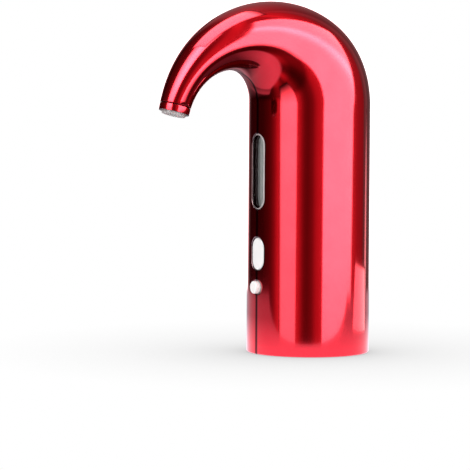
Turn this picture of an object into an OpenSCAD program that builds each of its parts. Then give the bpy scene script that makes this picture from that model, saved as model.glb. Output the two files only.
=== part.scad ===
// Electric wine aerator: a cylinder that sits on a bottle, with a hooked pouring spout.
// Millimetres, +Z up, front towards -Y. The base plane is z = 0 and the bottle axis is x = y = 0.

/* [Body] */
// Outside diameter of the straight body
body_d = 67; // [65:0.5:78]
// Thickness of the two half shells
wall = 2.4; // [1.6:0.1:3]
// Height at which the straight body turns into the hooked spout
shoulder_z = 135; // [134:1:160]
// Chamfer round the bottom edge of the shells
base_chamfer = 0.8; // [0.3:0.1:1.4]

/* [Spout] */
// Forward distance from the bottle axis to the end of the spout
spout_reach = 85; // [78:0.5:100]
// Height of the end of the spout above the shoulder
spout_rise = 1; // [-8:0.5:12]
// Lean of the spout's end away from straight down
spout_tilt = 15; // [5:0.5:25]
// Outside diameter at the end of the spout
spout_d = 17; // [15.5:0.1:20]
// Length of the upper outline's curve handle at the shoulder
crown_back = 72.5; // [64:0.5:84]
// Length of the upper outline's curve handle at the spout end
crown_front = 77; // [66:0.5:88]
// Length of the lower outline's curve handle at the shoulder
arch_back = 25.5; // [22:0.5:30]
// Length of the lower outline's curve handle at the spout end
arch_front = 27; // [22:0.5:32]

/* [Nozzle] */
// Height of the ring that ends the spout
ring_h = 4.6; // [3.5:0.1:8]
// Outside diameter of the ring at its open end
ring_d = 16.6; // [15.2:0.1:19]
// Length of the spigot that plugs into the spout
spigot_l = 6; // [4:0.5:9]
// Diameter of the outlet bore
outlet_d = 7.2; // [4:0.1:8]
// Outside diameter of the insert's barrel
insert_d = 8.8; // [8.6:0.1:9.6]
// Outside diameter of the insert's lip
lip_d = 13.2; // [11:0.1:14]
// How far the clear lip stands out of the ring
lip_out = 1.6; // [0.8:0.1:3]

/* [Window] */
// Width of the window
window_w = 12.2; // [9:0.1:13]
// Height of the window
window_h = 41; // [30:0.5:44]
// Height of the window's centre
window_z = 99; // [98:0.5:104]
// How far the lens lies below the shell's surface
lens_recess = 0.6; // [0.2:0.1:1.2]
// Width of the lens flange behind the shell
lens_flange = 1.8; // [1:0.1:2.4]

/* [Buttons] */
// Width of the oval pour button's opening
pour_w = 11.8; // [9:0.1:13]
// Height of the oval pour button's opening
pour_h = 18; // [14:0.1:20]
// Height of the pour button's centre
pour_z = 54.5; // [53:0.1:57]
// How far the pour button's face lies below the shell's surface
pour_recess = 0.7; // [0.2:0.1:1.2]
// Diameter of the round power button's opening
power_d = 7.4; // [6:0.1:8]
// Height of the power button's centre
power_z = 36.4; // [35.5:0.1:38]
// How far the power button stands out of the shell
power_out = 2.6; // [1:0.1:3.5]
// Push travel of both buttons
press_travel = 0.8; // [0.4:0.1:1]
// Gap between a button and its opening
press_gap = 0.3; // [0.2:0.05:0.5]
// Width of a button's flange behind the shell
press_flange = 1.4; // [0.8:0.1:1.6]
// Thickness of a button's flange
flange_t = 1; // [0.6:0.1:1.4]

/* [Bottle seat] */
// Diameter of the collar that guides the bottle's neck
neck_d = 31.5; // [29:0.1:33]
// Height of the collar
collar_h = 9; // [6:0.5:10]
// Thickness of the base cover
base_t = 3; // [2.4:0.1:4]
// Height of the seat's ceiling
ceiling_z = 29; // [27:0.5:31]
// Thickness of the seat's ceiling
ceiling_t = 4; // [3.5:0.1:5]
// Wall of the neck seat
seat_wall = 1.8; // [1.2:0.1:2.4]
// Diameter of the stopper's sealing ribs
rib_d = 19.4; // [18.6:0.1:21]
// Diameter of the stopper's plug between the ribs
plug_d = 17; // [16.2:0.1:18]
// Length of the stopper's plug below its flange
plug_l = 15.2; // [12:0.1:16]
// Thickness of the stopper's flange
stopper_flange_t = 2.8; // [2:0.1:4]
// Number of sealing ribs
rib_count = 3; // [2:1:4]

/* [Dip tube] */
// Outside diameter of the fixed tube
sleeve_d = 8.5; // [8:0.1:9.5]
// Wall of every tube section
tube_wall = 0.4; // [0.3:0.05:0.45]
// Radial step between one tube section and the next
tube_step = 0.3; // [0.2:0.05:0.35]
// Length of the guide rings at the ends of the tube sections
guide_h = 4; // [2:0.5:6]
// Thickness of the tube's foot
foot_t = 1.2; // [0.8:0.1:1.4]

/* [Mixing chamber] */
// Outside diameter of the clear chamber
chamber_d = 14; // [12.6:0.1:15]
// Wall of the clear chamber
chamber_wall = 1.4; // [1:0.1:1.8]
// How far the chamber goes on below the window
chamber_over = 3.6; // [2.5:0.1:5]
// Height of the bridge that joins the dip tube to the chamber
bridge_h = 11; // [9.6:0.1:13]
// Diameter of the passages in the bridge
passage_d = 3.6; // [2.8:0.1:3.8]

/* [Hoses] */
// Outside diameter of the spout hose's nipples
spout_nipple_d = 5.2; // [4.8:0.1:5.6]
// Outside diameter of the air nipples
air_nipple_d = 3.6; // [3:0.1:4]
// Bore of the air nipples
air_bore_d = 1.8; // [1:0.1:2]
// Length of a nipple
nipple_l = 5; // [4:0.1:6]
// Wall of the hoses
hose_wall = 1; // [0.6:0.1:1.3]

/* [Pump] */
// Gap between the pump and the dip tube
pump_tube_gap = 1.3; // [0.8:0.1:2]
// Gap between the pump and the shells
pump_shell_gap = 1.55; // [0.8:0.05:2.4]
// Wall of the pump case
case_wall = 2.9; // [2.6:0.1:3.4]
// Height of the pump's outlet cover
cover_h = 7; // [6:0.1:8]
// Thickness of the valve plate
valve_plate_t = 3; // [2:0.1:4]
// Thickness of the diaphragm's rim
diaphragm_t = 1.4; // [1:0.1:2]
// Height of the pump case
case_h = 23; // [22.5:0.1:24]
// Gap between a pump chamber and the case
cup_gap = 0.3; // [0.2:0.05:0.8]
// Diameter of one pump chamber
cup_d = 5.8; // [5:0.1:5.8]
// Lean of the wobble pin
wobble_angle = 8; // [4:0.5:9]
// Height of the wobble point above the diaphragm's rim
wobble_rise = 7; // [6.5:0.1:7.2]
// Diameter of the wobble pin
wobble_pin_d = 1.5; // [1:0.1:1.8]
// Diameter of the cam on the motor shaft
cam_d = 11; // [9:0.1:13]

/* [Motor] */
// Outside diameter of the motor's can
motor_d = 20.4; // [19.8:0.1:21]
// Length of the motor's can
can_h = 26; // [24:0.5:28]
// Length of the motor's end cap
end_cap_h = 3; // [2.4:0.1:4]
// Wall of the motor's can
can_wall = 0.7; // [0.5:0.05:1]
// Diameter of the motor's shaft
shaft_d = 2; // [1.6:0.1:2.3]
// Diameter of the armature
armature_d = 14.2; // [12:0.1:14.6]

/* [Battery and boards] */
// Diameter of the battery
battery_d = 18.4; // [14:0.1:18.6]
// Length of the battery
battery_l = 65; // [50:0.5:70]
// Thickness of the boards
board_t = 1.6; // [1:0.1:1.6]
// Width of the button board
board_w = 22; // [18:0.5:23]
// Side of a push switch's body
switch_w = 6; // [4:0.1:6.4]
// Height of a push switch's body
switch_h = 2.4; // [1.6:0.1:2.8]
// Width of the charging socket
usb_w = 8.9; // [8:0.1:9.2]
// Height of the charging socket
usb_h = 3.2; // [3:0.1:3.4]
// Depth of the charging socket
usb_l = 7.3; // [6:0.1:8]
// Height of the charging socket's centre
usb_z = 14.2; // [12:0.1:16]

/* [Inner frame] */
// Thickness of the two decks
deck_t = 2.5; // [2:0.1:3]
// Diameter of the posts between the decks
post_d = 4.8; // [4:0.1:5.2]
// Width of the ledges in the shells that hold the decks
ledge_w = 1.9; // [1.2:0.1:2.4]
// Height of those ledges
ledge_h = 2; // [1.2:0.1:3]

/* [Screws] */
// Shank diameter of the screws
screw_d = 1.9; // [1.5:0.1:2]
// Head diameter of the screws
screw_head_d = 3.6; // [3:0.1:3.8]
// Head height of the screws
screw_head_h = 1.2; // [0.8:0.1:1.4]
// Length of the base screws' shanks
base_screw_l = 9; // [7:0.5:10]

/* [Fits] */
// Clearance of a part that is pushed into another
fit = 0.05; // [0.02:0.01:0.1]
// Clearance of a part that is dropped into another
loose_fit = 0.2; // [0.1:0.05:0.3]
// Clearance of a part that turns or slides in another
run_fit = 0.06; // [0.03:0.01:0.1]

/* [Hidden] */
$fn = 64;
eps = 0.01;
cut = 1;
hook_steps = 30;
hook_segments = 24;
// The curved top starts this much inside the straight body's two faces, as a fine parting line
shoulder_step = 0.06;

// Body
body_r = body_d / 2;
inner_r = body_r - wall;
deck_r = inner_r - loose_fit;
screw_r = screw_d / 2;
screw_head_r = screw_head_d / 2;

// Bottle seat, from the base upwards
neck_r = neck_d / 2;
collar_r = neck_r + seat_wall;
seat_in_r = collar_r + loose_fit;
seat_out_r = seat_in_r + seat_wall;
seat_top = ceiling_z + ceiling_t;
seat_bore_r = neck_r + 0.6;
stopper_flange_z = ceiling_z - stopper_flange_t;
plug_tip = stopper_flange_z - plug_l;
stopper_flange_r = seat_bore_r - loose_fit;
sleeve_r = sleeve_d / 2;
sleeve_bore_r = sleeve_r + fit;
air_nipple_r = air_nipple_d / 2;
air_bore_r = air_bore_d / 2;
air_hose_in = air_nipple_r + fit;
air_hose_out = air_hose_in + hose_wall;
air_port_f = (sleeve_bore_r + plug_d / 2) / 2;

// Decks
low_deck_z = seat_top;
low_deck_top = low_deck_z + deck_t;
chamber_r = chamber_d / 2;
chamber_in_r = chamber_r - chamber_wall;
chamber_z0 = window_z - window_h / 2 - chamber_over;
socket_depth = 4;
chamber_z1 = window_z + window_h / 2 + lens_flange + 0.4 + socket_depth;
lens_flange_t = 1.6;
lens_back_r = inner_r - fit - lens_flange_t;
chamber_f = lens_back_r - 0.4 - chamber_r;
bridge_z0 = chamber_z1 - socket_depth;
bridge_top = bridge_z0 + bridge_h;
high_deck_top = bridge_z0;
high_deck_z = high_deck_top - deck_t;
sleeve_top = bridge_z0 + socket_depth;
post_r = post_d / 2;
post_pos = inner_r - ledge_w - max(screw_head_r, post_r) - 0.3;
post_angles = [-20, 45, 135, 200];
ledge_margin = 40;
ledge_in_r = inner_r - ledge_w;
ledge_out_r = inner_r + wall / 2;
high_ledge_z = high_deck_top + fit;

// Bridge passages
passage_r = passage_d / 2;
channel_z = bridge_top - passage_r - 1.7;
drop_r = passage_r + 0.3;
drop_f = chamber_f - chamber_in_r + drop_r + 0.5;
outlet_f = chamber_f + chamber_in_r - passage_r - 0.5;
spout_nipple_r = spout_nipple_d / 2;
spout_hose_in = spout_nipple_r + fit;
spout_hose_out = spout_hose_in + hose_wall;
bridge_nipple_l = nipple_l + 2;

// Dip tube sections: index 0 is the fixed sleeve
function tube_out(k) = sleeve_r - k * (tube_wall + tube_step);
function tube_in(k) = tube_out(k) - tube_wall;
tube_bottom = plug_tip;
tube_head = sleeve_top - 1;

// Pump stack, hung under the upper deck
pump_r = (inner_r - pump_shell_gap - sleeve_r - pump_tube_gap) / 2;
pump_f = -(sleeve_r + pump_tube_gap + pump_r);
motor_r = motor_d / 2;
motor_top = high_deck_z;
can_top = motor_top - end_cap_h;
motor_face = can_top - can_h;
case_z = motor_face - case_h;
valve_top = case_z - diaphragm_t;
valve_z = valve_top - valve_plate_t;
cover_z = valve_z - cover_h;
shelf_z = cover_z - deck_t;
case_bore_r = pump_r - case_wall;
case_roof = 2.5;
wobble_z = case_z + wobble_rise;
pump_nipple_z = cover_z - nipple_l - 0.6;
pump_screw_pos = case_bore_r + 1.1;
pump_screw_r = 0.8;
cup_r = cup_d / 2;
cup_pos = case_bore_r - cup_r - cup_gap;
cup_floor = 0.9;
arm_t = 2;
arm_r = 1.9;
stem_r = 0.9;
arm_gap = 0.4;
rocker_hub_r = 2.6;
rocker_hub_top = 3.4;
pin_r = wobble_pin_d / 2;
cam_gap = 1.8;
cam_z = wobble_z + rocker_hub_top + cam_gap;
pin_depth = 3.2;
pin_top = rocker_hub_top + cam_gap + pin_depth;
cam_top = motor_face - case_roof - 0.8;
shaft_r = shaft_d / 2;
shaft_end = wobble_z + pin_top + 0.5;
bush_r = shaft_r + 1.2;
bush_h = 2.5;
can_floor = 1;
armature_r = armature_d / 2;
can_in_r = motor_r - can_wall;
magnet_r = armature_r + 0.4;
motor_cup_wall = 1.2;
motor_cup_h = 5.5;
side_nipple_z = cover_z + cover_h / 2;

// Air line from the pump down to the stopper
seat_nipple_top = seat_top + nipple_l;
check_z = seat_nipple_top + 0.4;
check_body_h = 4.4;
check_nipple_l = 2.4;
check_top = check_z + check_body_h + 2 * check_nipple_l;
check_r = 5;

// Battery
battery_r = battery_d / 2;
cradle_wall = 1.2;
cradle_h = 10;
battery_x = -(deck_r - 2.2 - cradle_wall - loose_fit - battery_r);
battery_f = 3;

// Buttons and their board
flange_front_f = sqrt(pow(inner_r, 2) - pow(pour_w / 2 + press_flange, 2)) - 0.15;
flange_back_f = flange_front_f - flange_t;
stub_l = 0.6;
stub_r = 1.5;
actuator_l = 1;
actuator_r = 1.7;
actuator_f = flange_back_f - stub_l - press_travel - 0.1;
board_front_f = actuator_f - actuator_l - switch_h;
board_f = board_front_f - board_t;
board_z0 = power_z - switch_w / 2 - 3.6;
board_z1 = pour_z + switch_w / 2 + 4;
rail_w = 2.4;
rail_l = 4.4;
rail_top = pour_z - 4;

// Charging socket
usb_mouth_f = -(inner_r + wall / 2);
charge_board_top = usb_z - usb_h / 2;
charge_board_z = charge_board_top - board_t;
charge_board_w = usb_w + 7;
charge_board_edge = sqrt(pow(inner_r - 0.3, 2) - pow(charge_board_w / 2, 2));
charge_board_inner = seat_out_r + 0.6;

// Base screws
base_screw_pos = inner_r - screw_head_r - 1.1;
base_screw_head_z = 0.3;
boss_r = inner_r - base_screw_pos + 0.5;
boss_top = base_t + base_screw_l + 1.6;
deck_screw_l = 7;

// Spout outlines
spout_axis = [sin(spout_tilt), -cos(spout_tilt)];
spout_normal = [cos(spout_tilt), sin(spout_tilt)];
spout_r = spout_d / 2;
spout_end = [spout_reach, shoulder_z + spout_rise];
spout_in_r = spout_r - wall;
hook_r = body_r - shoulder_step;
hook_wall = wall - 3 * shoulder_step;

function bezier(a, b, c, d, t) =
    pow(1 - t, 3) * a + 3 * pow(1 - t, 2) * t * b + 3 * (1 - t) * t * t * c + pow(t, 3) * d;

function crown(t) =
    let (tip = spout_end + spout_r * spout_normal)
    bezier([-hook_r, shoulder_z], [-hook_r, shoulder_z + crown_back],
        tip - crown_front * spout_axis, tip, t);

function arch(t) =
    let (tip = spout_end - spout_r * spout_normal)
    bezier([hook_r, shoulder_z], [hook_r, shoulder_z + arch_back],
        tip - arch_front * spout_axis, tip, t);

function half_width(t) =
    hook_r + (spout_r - hook_r) * (0.7 * pow(t, 1.25) + 0.3 * (3 - 2 * t) * t * t);

// A closed C-shaped loop of one half of the spout: outer arc from crown to arch, then the inner arc back
function hook_loop(t, side) =
    let (
        top = crown(t),
        under = arch(t),
        c = (top + under) / 2,
        h = norm(top - under) / 2,
        u = (top - under) / (2 * h),
        w = half_width(t),
        h_in = h - hook_wall,
        w_in = w - hook_wall,
        step = 180 / hook_segments)
    concat(
        [for (k = [0 : hook_segments]) hook_point(c, u, h, w, step * k, side)],
        [for (k = [hook_segments : -1 : 0]) hook_point(c, u, h_in, w_in, step * k, side)]);

function hook_point(c, u, h, w, a, side) =
    let (p = c + u * h * cos(a))
    [side * w * sin(a), -p[0], p[1]];

// Swept tubes: a route of points, carried along without twist
function unit(v) = v / norm(v);

function tangent(p, i) =
    unit(p[min(i + 1, len(p) - 1)] - p[max(i - 1, 0)]);

function carry(v, t) = unit(v - (v * t) * t);

function normals(p, first) =
    [for (i = 0, v = carry(first, tangent(p, 0));
        i < len(p);
        i = i + 1, v = i < len(p) ? carry(v, tangent(p, i)) : v) v];

function tube_loop(c, t, v, r, sides) =
    let (b = cross(t, v))
    [for (k = [0 : sides - 1]) c + r * (cos(360 * k / sides) * v + sin(360 * k / sides) * b)];

function curve_through(p, steps) =
    concat(
        [for (i = [0 : len(p) - 2], s = [0 : steps - 1])
            spline_point(p[max(i - 1, 0)], p[i], p[i + 1], p[min(i + 2, len(p) - 1)], s / steps)],
        [p[len(p) - 1]]);

function spline_point(a, b, c, d, t) =
    0.5 * (2 * b + (c - a) * t + (2 * a - 5 * b + 4 * c - d) * t * t
        + (3 * b - a - 3 * c + d) * t * t * t);

function fp(f, z) = [0, -f, z];

// Route of the spout hose, from the bridge's nipple to the nozzle insert's nipple
insert_tail = 9;
hose_start = [outlet_f, bridge_top + 0.2];
hose_bend = 5.2;
hose_rise = [outlet_f, max(bridge_top + bridge_nipple_l + 0.5, shoulder_z + hose_bend)];
hose_end = spout_end - (insert_tail + 0.2) * spout_axis;
hose_turn = spout_end - (insert_tail + nipple_l + 0.5) * spout_axis;
hose_handle = 26;
hose_steps = 18;
spout_hose_route = concat(
    [fp(hose_start[0], hose_start[1])],
    [for (i = [0 : hose_steps])
        let (q = bezier(hose_rise, hose_rise + [0, hose_handle], hose_turn - hose_handle * spout_axis,
            hose_turn, i / hose_steps))
        fp(q[0], q[1])],
    [fp(hose_end[0], hose_end[1])]);

// Route of the aeration hose, from the pump cover's side nipple to the chamber cap's nipple
cap_nipple_f = chamber_f - 3;
cap_h = 4.6;
cap_z = chamber_z0 - 2.6;
// It leaves the pump at an angle, then passes inside the nearest post and behind the button board
side_nipple_turn = -30;
hose_x = post_pos * cos(post_angles[0]) - post_r - air_hose_out - 0.5;
hose_f = board_f - air_hose_out - 2.7;

function side_nipple(d) =
    [d * cos(side_nipple_turn), -pump_f + d * sin(side_nipple_turn), side_nipple_z];

aeration_points = [
    side_nipple(pump_r + nipple_l + 1),
    [hose_x - 0.9, 4.5, side_nipple_z],
    [hose_x - 1, -0.12 * hose_f, side_nipple_z],
    [hose_x - 3.6, -0.5 * hose_f, side_nipple_z],
    [hose_x - 9.4, -0.84 * hose_f, side_nipple_z],
    [5, -hose_f - 0.5, side_nipple_z + 0.7],
    [1.3, 0.15 - cap_nipple_f, side_nipple_z + 3],
    [0, -cap_nipple_f, cap_z - nipple_l - 1.5]];
aeration_route = concat(
    [side_nipple(pump_r + 0.2), side_nipple(pump_r + nipple_l + 0.3)],
    curve_through(aeration_points, 3),
    [[0, -cap_nipple_f, cap_z - 0.2]]);

module at(f, z, x = 0) {
    translate([x, -f, z])
        children();
}

module facing_front(f, z) {
    translate([0, -f, z])
        rotate([90, 0, 0])
            children();
}

module ring(r_out, r_in, h) {
    difference() {
        cylinder(r = r_out, h = h);
        translate([0, 0, -cut])
            cylinder(r = r_in, h = h + 2 * cut);
    }
}

module stadium(w, h) {
    translate([0, (h - w) / 2])
        circle(d = w);
    translate([0, -(h - w) / 2])
        circle(d = w);
    square([w, h - w], center = true);
}

module front_prism(w, h, z, f0, f1) {
    facing_front(f0, z)
        linear_extrude(f1 - f0)
            stadium(w, h);
}

module band(r0, r1, z0, z1) {
    translate([0, 0, z0])
        ring(r1, r0, z1 - z0);
}

module screw(l, shank_r, head_r, head_h) {
    cylinder(r = shank_r, h = l);
    translate([0, 0, -head_h])
        cylinder(r = head_r, h = head_h);
}

module at_posts() {
    for (a = post_angles)
        rotate([0, 0, -a])
            translate([post_pos, 0, 0])
                children();
}

module at_pump() {
    translate([0, -pump_f, 0])
        children();
}

module swept_tube(route, r_out, r_in, sides, first) {
    n = len(route);
    v = normals(route, first);
    k_out = r_out;
    k_in = r_in / cos(180 / sides);
    outer = [for (i = [0 : n - 1]) each tube_loop(route[i], tangent(route, i), v[i], k_out, sides)];
    inner = [for (i = [0 : n - 1]) each tube_loop(route[i], tangent(route, i), v[i], k_in, sides)];
    o = n * sides;
    e = (n - 1) * sides;
    faces = [for (k = [0 : sides - 1], i = [0 : n - 2])
        let (a = i * sides + k, b = i * sides + (k + 1) % sides)
        each [[a, a + sides, b + sides], [a, b + sides, b],
            [o + a, o + b + sides, o + a + sides], [o + a, o + b, o + b + sides]]];
    ends = [for (k = [0 : sides - 1])
        let (b = (k + 1) % sides)
        each [[k, b, o + b], [k, o + b, o + k],
            [e + k, o + e + b, e + b], [e + k, o + e + k, o + e + b]]];
    polyhedron(points = concat(outer, inner), faces = concat(faces, ends), convexity = 8);
}

module on_spout_axis() {
    translate([0, -spout_end[0], spout_end[1]])
        rotate([180 - spout_tilt, 0, 0])
            children();
}

// Shells

module half_ring(r0, r1, z0, z1, side, margin = 0) {
    rotate([0, 0, (side > 0 ? -90 : 90) + margin])
        rotate_extrude(angle = 180 - 2 * margin)
            translate([r0, z0])
                square([r1 - r0, z1 - z0]);
}

module half_tube(side) {
    rotate([0, 0, side > 0 ? -90 : 90])
        rotate_extrude(angle = 180)
            polygon([[inner_r, 0], [body_r - base_chamfer, 0], [body_r, base_chamfer],
                [body_r, shoulder_z], [inner_r, shoulder_z]]);
}

module screw_boss(a) {
    rotate([0, 0, a])
        translate([0, -base_screw_pos, base_t])
            difference() {
                cylinder(r = boss_r, h = boss_top - base_t);
                translate([0, 0, -cut])
                    cylinder(r = screw_r + fit, h = base_screw_l + cut + 0.6);
            }
}

module straight_half(side) {
    difference() {
        union() {
            half_tube(side);
            intersection() {
                cylinder(r = body_r - wall / 2, h = shoulder_z);
                for (a = [45, 135])
                    screw_boss(side * a);
            }
            half_ring(ledge_in_r, ledge_out_r, low_deck_z - ledge_h, low_deck_z, side, ledge_margin);
            half_ring(ledge_in_r, ledge_out_r, high_ledge_z, high_ledge_z + ledge_h, side, ledge_margin);
        }
        front_prism(window_w, window_h, window_z, inner_r - 4, body_r + cut);
        front_prism(pour_w, pour_h, pour_z, inner_r - 4, body_r + cut);
        facing_front(inner_r - 4, power_z)
            cylinder(d = power_d, h = wall + 4 + cut);
        translate([0, 0, usb_z])
            rotate([-90, 0, 0])
                linear_extrude(body_r + cut)
                    rotate([0, 0, 90])
                        stadium(usb_h + 2 * loose_fit, usb_w + 2 * loose_fit);
    }
}

module hook_half(side) {
    m = 2 * (hook_segments + 1);
    last = hook_steps * m;
    points = [for (r = [0 : hook_steps]) each hook_loop(r / hook_steps, side)];
    sides = [for (r = [0 : hook_steps - 1], k = [0 : m - 1])
        let (a = r * m + k, b = r * m + (k + 1) % m)
        each [[a, b, b + m], [a, b + m, a + m]]];
    start = [for (k = [0 : hook_segments - 1]) each [[k, m - 1 - k, m - 2 - k], [k, m - 2 - k, k + 1]]];
    end = [for (f = start) [for (i = [2 : -1 : 0]) last + f[i]]];
    all = concat(sides, start, end);
    faces = side > 0 ? all : [for (f = all) [f[2], f[1], f[0]]];
    polyhedron(points = points, faces = faces, convexity = 8);
}

module right_shell() {
    color("#c8102e") {
        straight_half(1);
        hook_half(1);
    }
}

module left_shell() {
    color("#c8102e") {
        straight_half(-1);
        hook_half(-1);
    }
}

// Nozzle

module nozzle_ring() {
    recess_r = lip_d / 2 + loose_fit;
    bore_r = insert_d / 2 + fit;
    spigot_r = spout_in_r - loose_fit;
    groove_r = spout_r - 0.5;
    end_r = ring_d / 2;
    color("#c8102e")
        on_spout_axis()
            rotate_extrude()
                polygon([[bore_r, -spigot_l], [spigot_r, -spigot_l], [spigot_r, 0], [groove_r, 0],
                    [groove_r, 0.5], [spout_r, 0.6], [end_r, ring_h - 0.4], [end_r - 0.4, ring_h],
                    [recess_r, ring_h], [recess_r, ring_h - 1.6], [bore_r, ring_h - 1.6]]);
}

module nozzle_insert() {
    lip_z = ring_h - 1.6;
    lip_end = ring_h + lip_out;
    lip_r = lip_d / 2;
    barrel_r = insert_d / 2;
    outlet_r = outlet_d / 2;
    feed_r = passage_r * 0.8;
    tail = -insert_tail;
    color("#e6ecef", 0.6)
        on_spout_axis()
            rotate_extrude()
                polygon([[feed_r, tail - nipple_l], [spout_nipple_r, tail - nipple_l],
                    [spout_nipple_r, tail], [barrel_r, tail], [barrel_r, lip_z], [lip_r, lip_z],
                    [lip_r, lip_end - 0.6], [lip_r - 0.6, lip_end], [outlet_r + 0.7, lip_end],
                    [outlet_r, lip_end - 0.7], [outlet_r, 0], [feed_r, tail + 2]]);
}

// Window and buttons

module window_lens() {
    w = window_w - 2 * fit;
    h = window_h - 2 * fit;
    color("#aeb9bf", 0.5)
        union() {
            intersection() {
                band(inner_r - fit - eps, body_r - lens_recess, chamber_z0, chamber_z1);
                front_prism(w, h, window_z, inner_r - 6, body_r);
            }
            intersection() {
                band(lens_back_r, inner_r - fit, chamber_z0, chamber_z1);
                front_prism(w + 2 * lens_flange, h + 2 * lens_flange, window_z, inner_r - 6, body_r);
            }
        }
}

module pour_button() {
    w = pour_w - 2 * press_gap;
    h = pour_h - 2 * press_gap;
    edge = 0.6;
    face_r = body_r - pour_recess;
    color("#f4f4f6")
        union() {
            intersection() {
                cylinder(r = face_r - edge, h = shoulder_z);
                front_prism(w, h, pour_z, flange_front_f - eps, body_r);
            }
            intersection() {
                cylinder(r = face_r, h = shoulder_z);
                front_prism(w - edge, h - edge, pour_z, flange_front_f - eps, body_r);
            }
            front_prism(pour_w + 2 * press_flange, pour_h + 2 * press_flange, pour_z,
                flange_back_f, flange_front_f);
            facing_front(flange_back_f - stub_l, pour_z)
                cylinder(r = stub_r, h = stub_l + eps);
        }
}

module power_button() {
    r = power_d / 2 - press_gap;
    face_f = body_r + power_out;
    dome_r = 12;
    color("#f4f4f6")
        union() {
            intersection() {
                facing_front(flange_front_f - eps, power_z)
                    cylinder(r = r, h = face_f - flange_front_f + eps);
                at(face_f - dome_r, power_z)
                    sphere(r = dome_r);
            }
            facing_front(flange_back_f, power_z)
                cylinder(r = power_d / 2 + press_flange, h = flange_t);
            facing_front(flange_back_f - stub_l, power_z)
                cylinder(r = stub_r, h = stub_l + eps);
        }
}

// Bottle seat

module base_cover() {
    plate_r = inner_r - loose_fit;
    color("#3a3a3e")
        difference() {
            union() {
                cylinder(r = plate_r, h = base_t);
                cylinder(r = collar_r, h = collar_h);
                for (x = [-1, 1])
                    at(-charge_board_inner - 3, 0, x * (charge_board_w / 2 - 2))
                        cylinder(r = 1.8, h = charge_board_z);
            }
            translate([0, 0, -cut])
                cylinder(r = neck_r, h = collar_h + 2 * cut);
            for (a = [45 : 90 : 315])
                rotate([0, 0, a])
                    translate([0, -base_screw_pos, -cut]) {
                        cylinder(r = screw_r + loose_fit, h = base_t + 2 * cut);
                        cylinder(r = screw_head_r + loose_fit, h = cut + base_screw_head_z + screw_head_h);
                    }
        }
}

module base_screws() {
    color("#9a9ca0")
        for (a = [45 : 90 : 315])
            rotate([0, 0, a])
                translate([0, -base_screw_pos, base_screw_head_z + screw_head_h])
                    screw(base_screw_l, screw_r, screw_head_r, screw_head_h);
}

module neck_seat() {
    air_z = ceiling_z + ceiling_t / 2;
    color("#4a4a50")
        difference() {
            union() {
                translate([0, 0, base_t])
                    cylinder(r = seat_out_r, h = seat_top - base_t);
                at(pump_f, seat_top - eps)
                    cylinder(r = air_nipple_r, h = nipple_l + eps);
            }
            translate([0, 0, base_t - cut])
                cylinder(r = seat_in_r, h = collar_h - base_t + loose_fit + cut);
            translate([0, 0, base_t])
                cylinder(r = seat_bore_r, h = ceiling_z - base_t);
            translate([0, 0, base_t])
                cylinder(r = sleeve_r + loose_fit, h = seat_top);
            at(-air_port_f, ceiling_z - cut)
                cylinder(r = air_bore_r, h = air_z - ceiling_z + cut);
            at(-air_port_f, air_z)
                rotate([-90, 0, 0])
                    cylinder(r = air_bore_r, h = -pump_f - air_port_f);
            at(pump_f, air_z)
                cylinder(r = air_bore_r, h = seat_nipple_top - air_z + cut);
            at(inner_r, board_z0 - loose_fit, -board_w / 2 - loose_fit)
                cube([board_w + 2 * loose_fit, inner_r - board_f + loose_fit, seat_top]);
        }
}

module bottle_stopper() {
    plug_r = plug_d / 2;
    rib_r = rib_d / 2;
    rib_h = 2.4;
    pitch = (plug_l - 2) / rib_count;
    color("#1e1e22")
        difference() {
            union() {
                translate([0, 0, stopper_flange_z])
                    cylinder(r = stopper_flange_r, h = stopper_flange_t);
                translate([0, 0, plug_tip])
                    cylinder(r1 = plug_r - 0.8, r2 = plug_r, h = 2);
                translate([0, 0, plug_tip + 2 - eps])
                    cylinder(r = plug_r, h = plug_l - 2 + 2 * eps);
                for (i = [0 : rib_count - 1])
                    translate([0, 0, plug_tip + 2 + (i + 0.5) * pitch - rib_h / 2]) {
                        cylinder(r1 = plug_r - eps, r2 = rib_r, h = rib_h * 0.6);
                        translate([0, 0, rib_h * 0.6])
                            cylinder(r1 = rib_r, r2 = plug_r - eps, h = rib_h * 0.4);
                    }
            }
            translate([0, 0, plug_tip - cut])
                cylinder(r = sleeve_bore_r, h = ceiling_z - plug_tip + 2 * cut);
            at(-air_port_f, plug_tip - cut)
                cylinder(r = air_bore_r, h = ceiling_z - plug_tip + 2 * cut);
        }
}

// Inner frame

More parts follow.
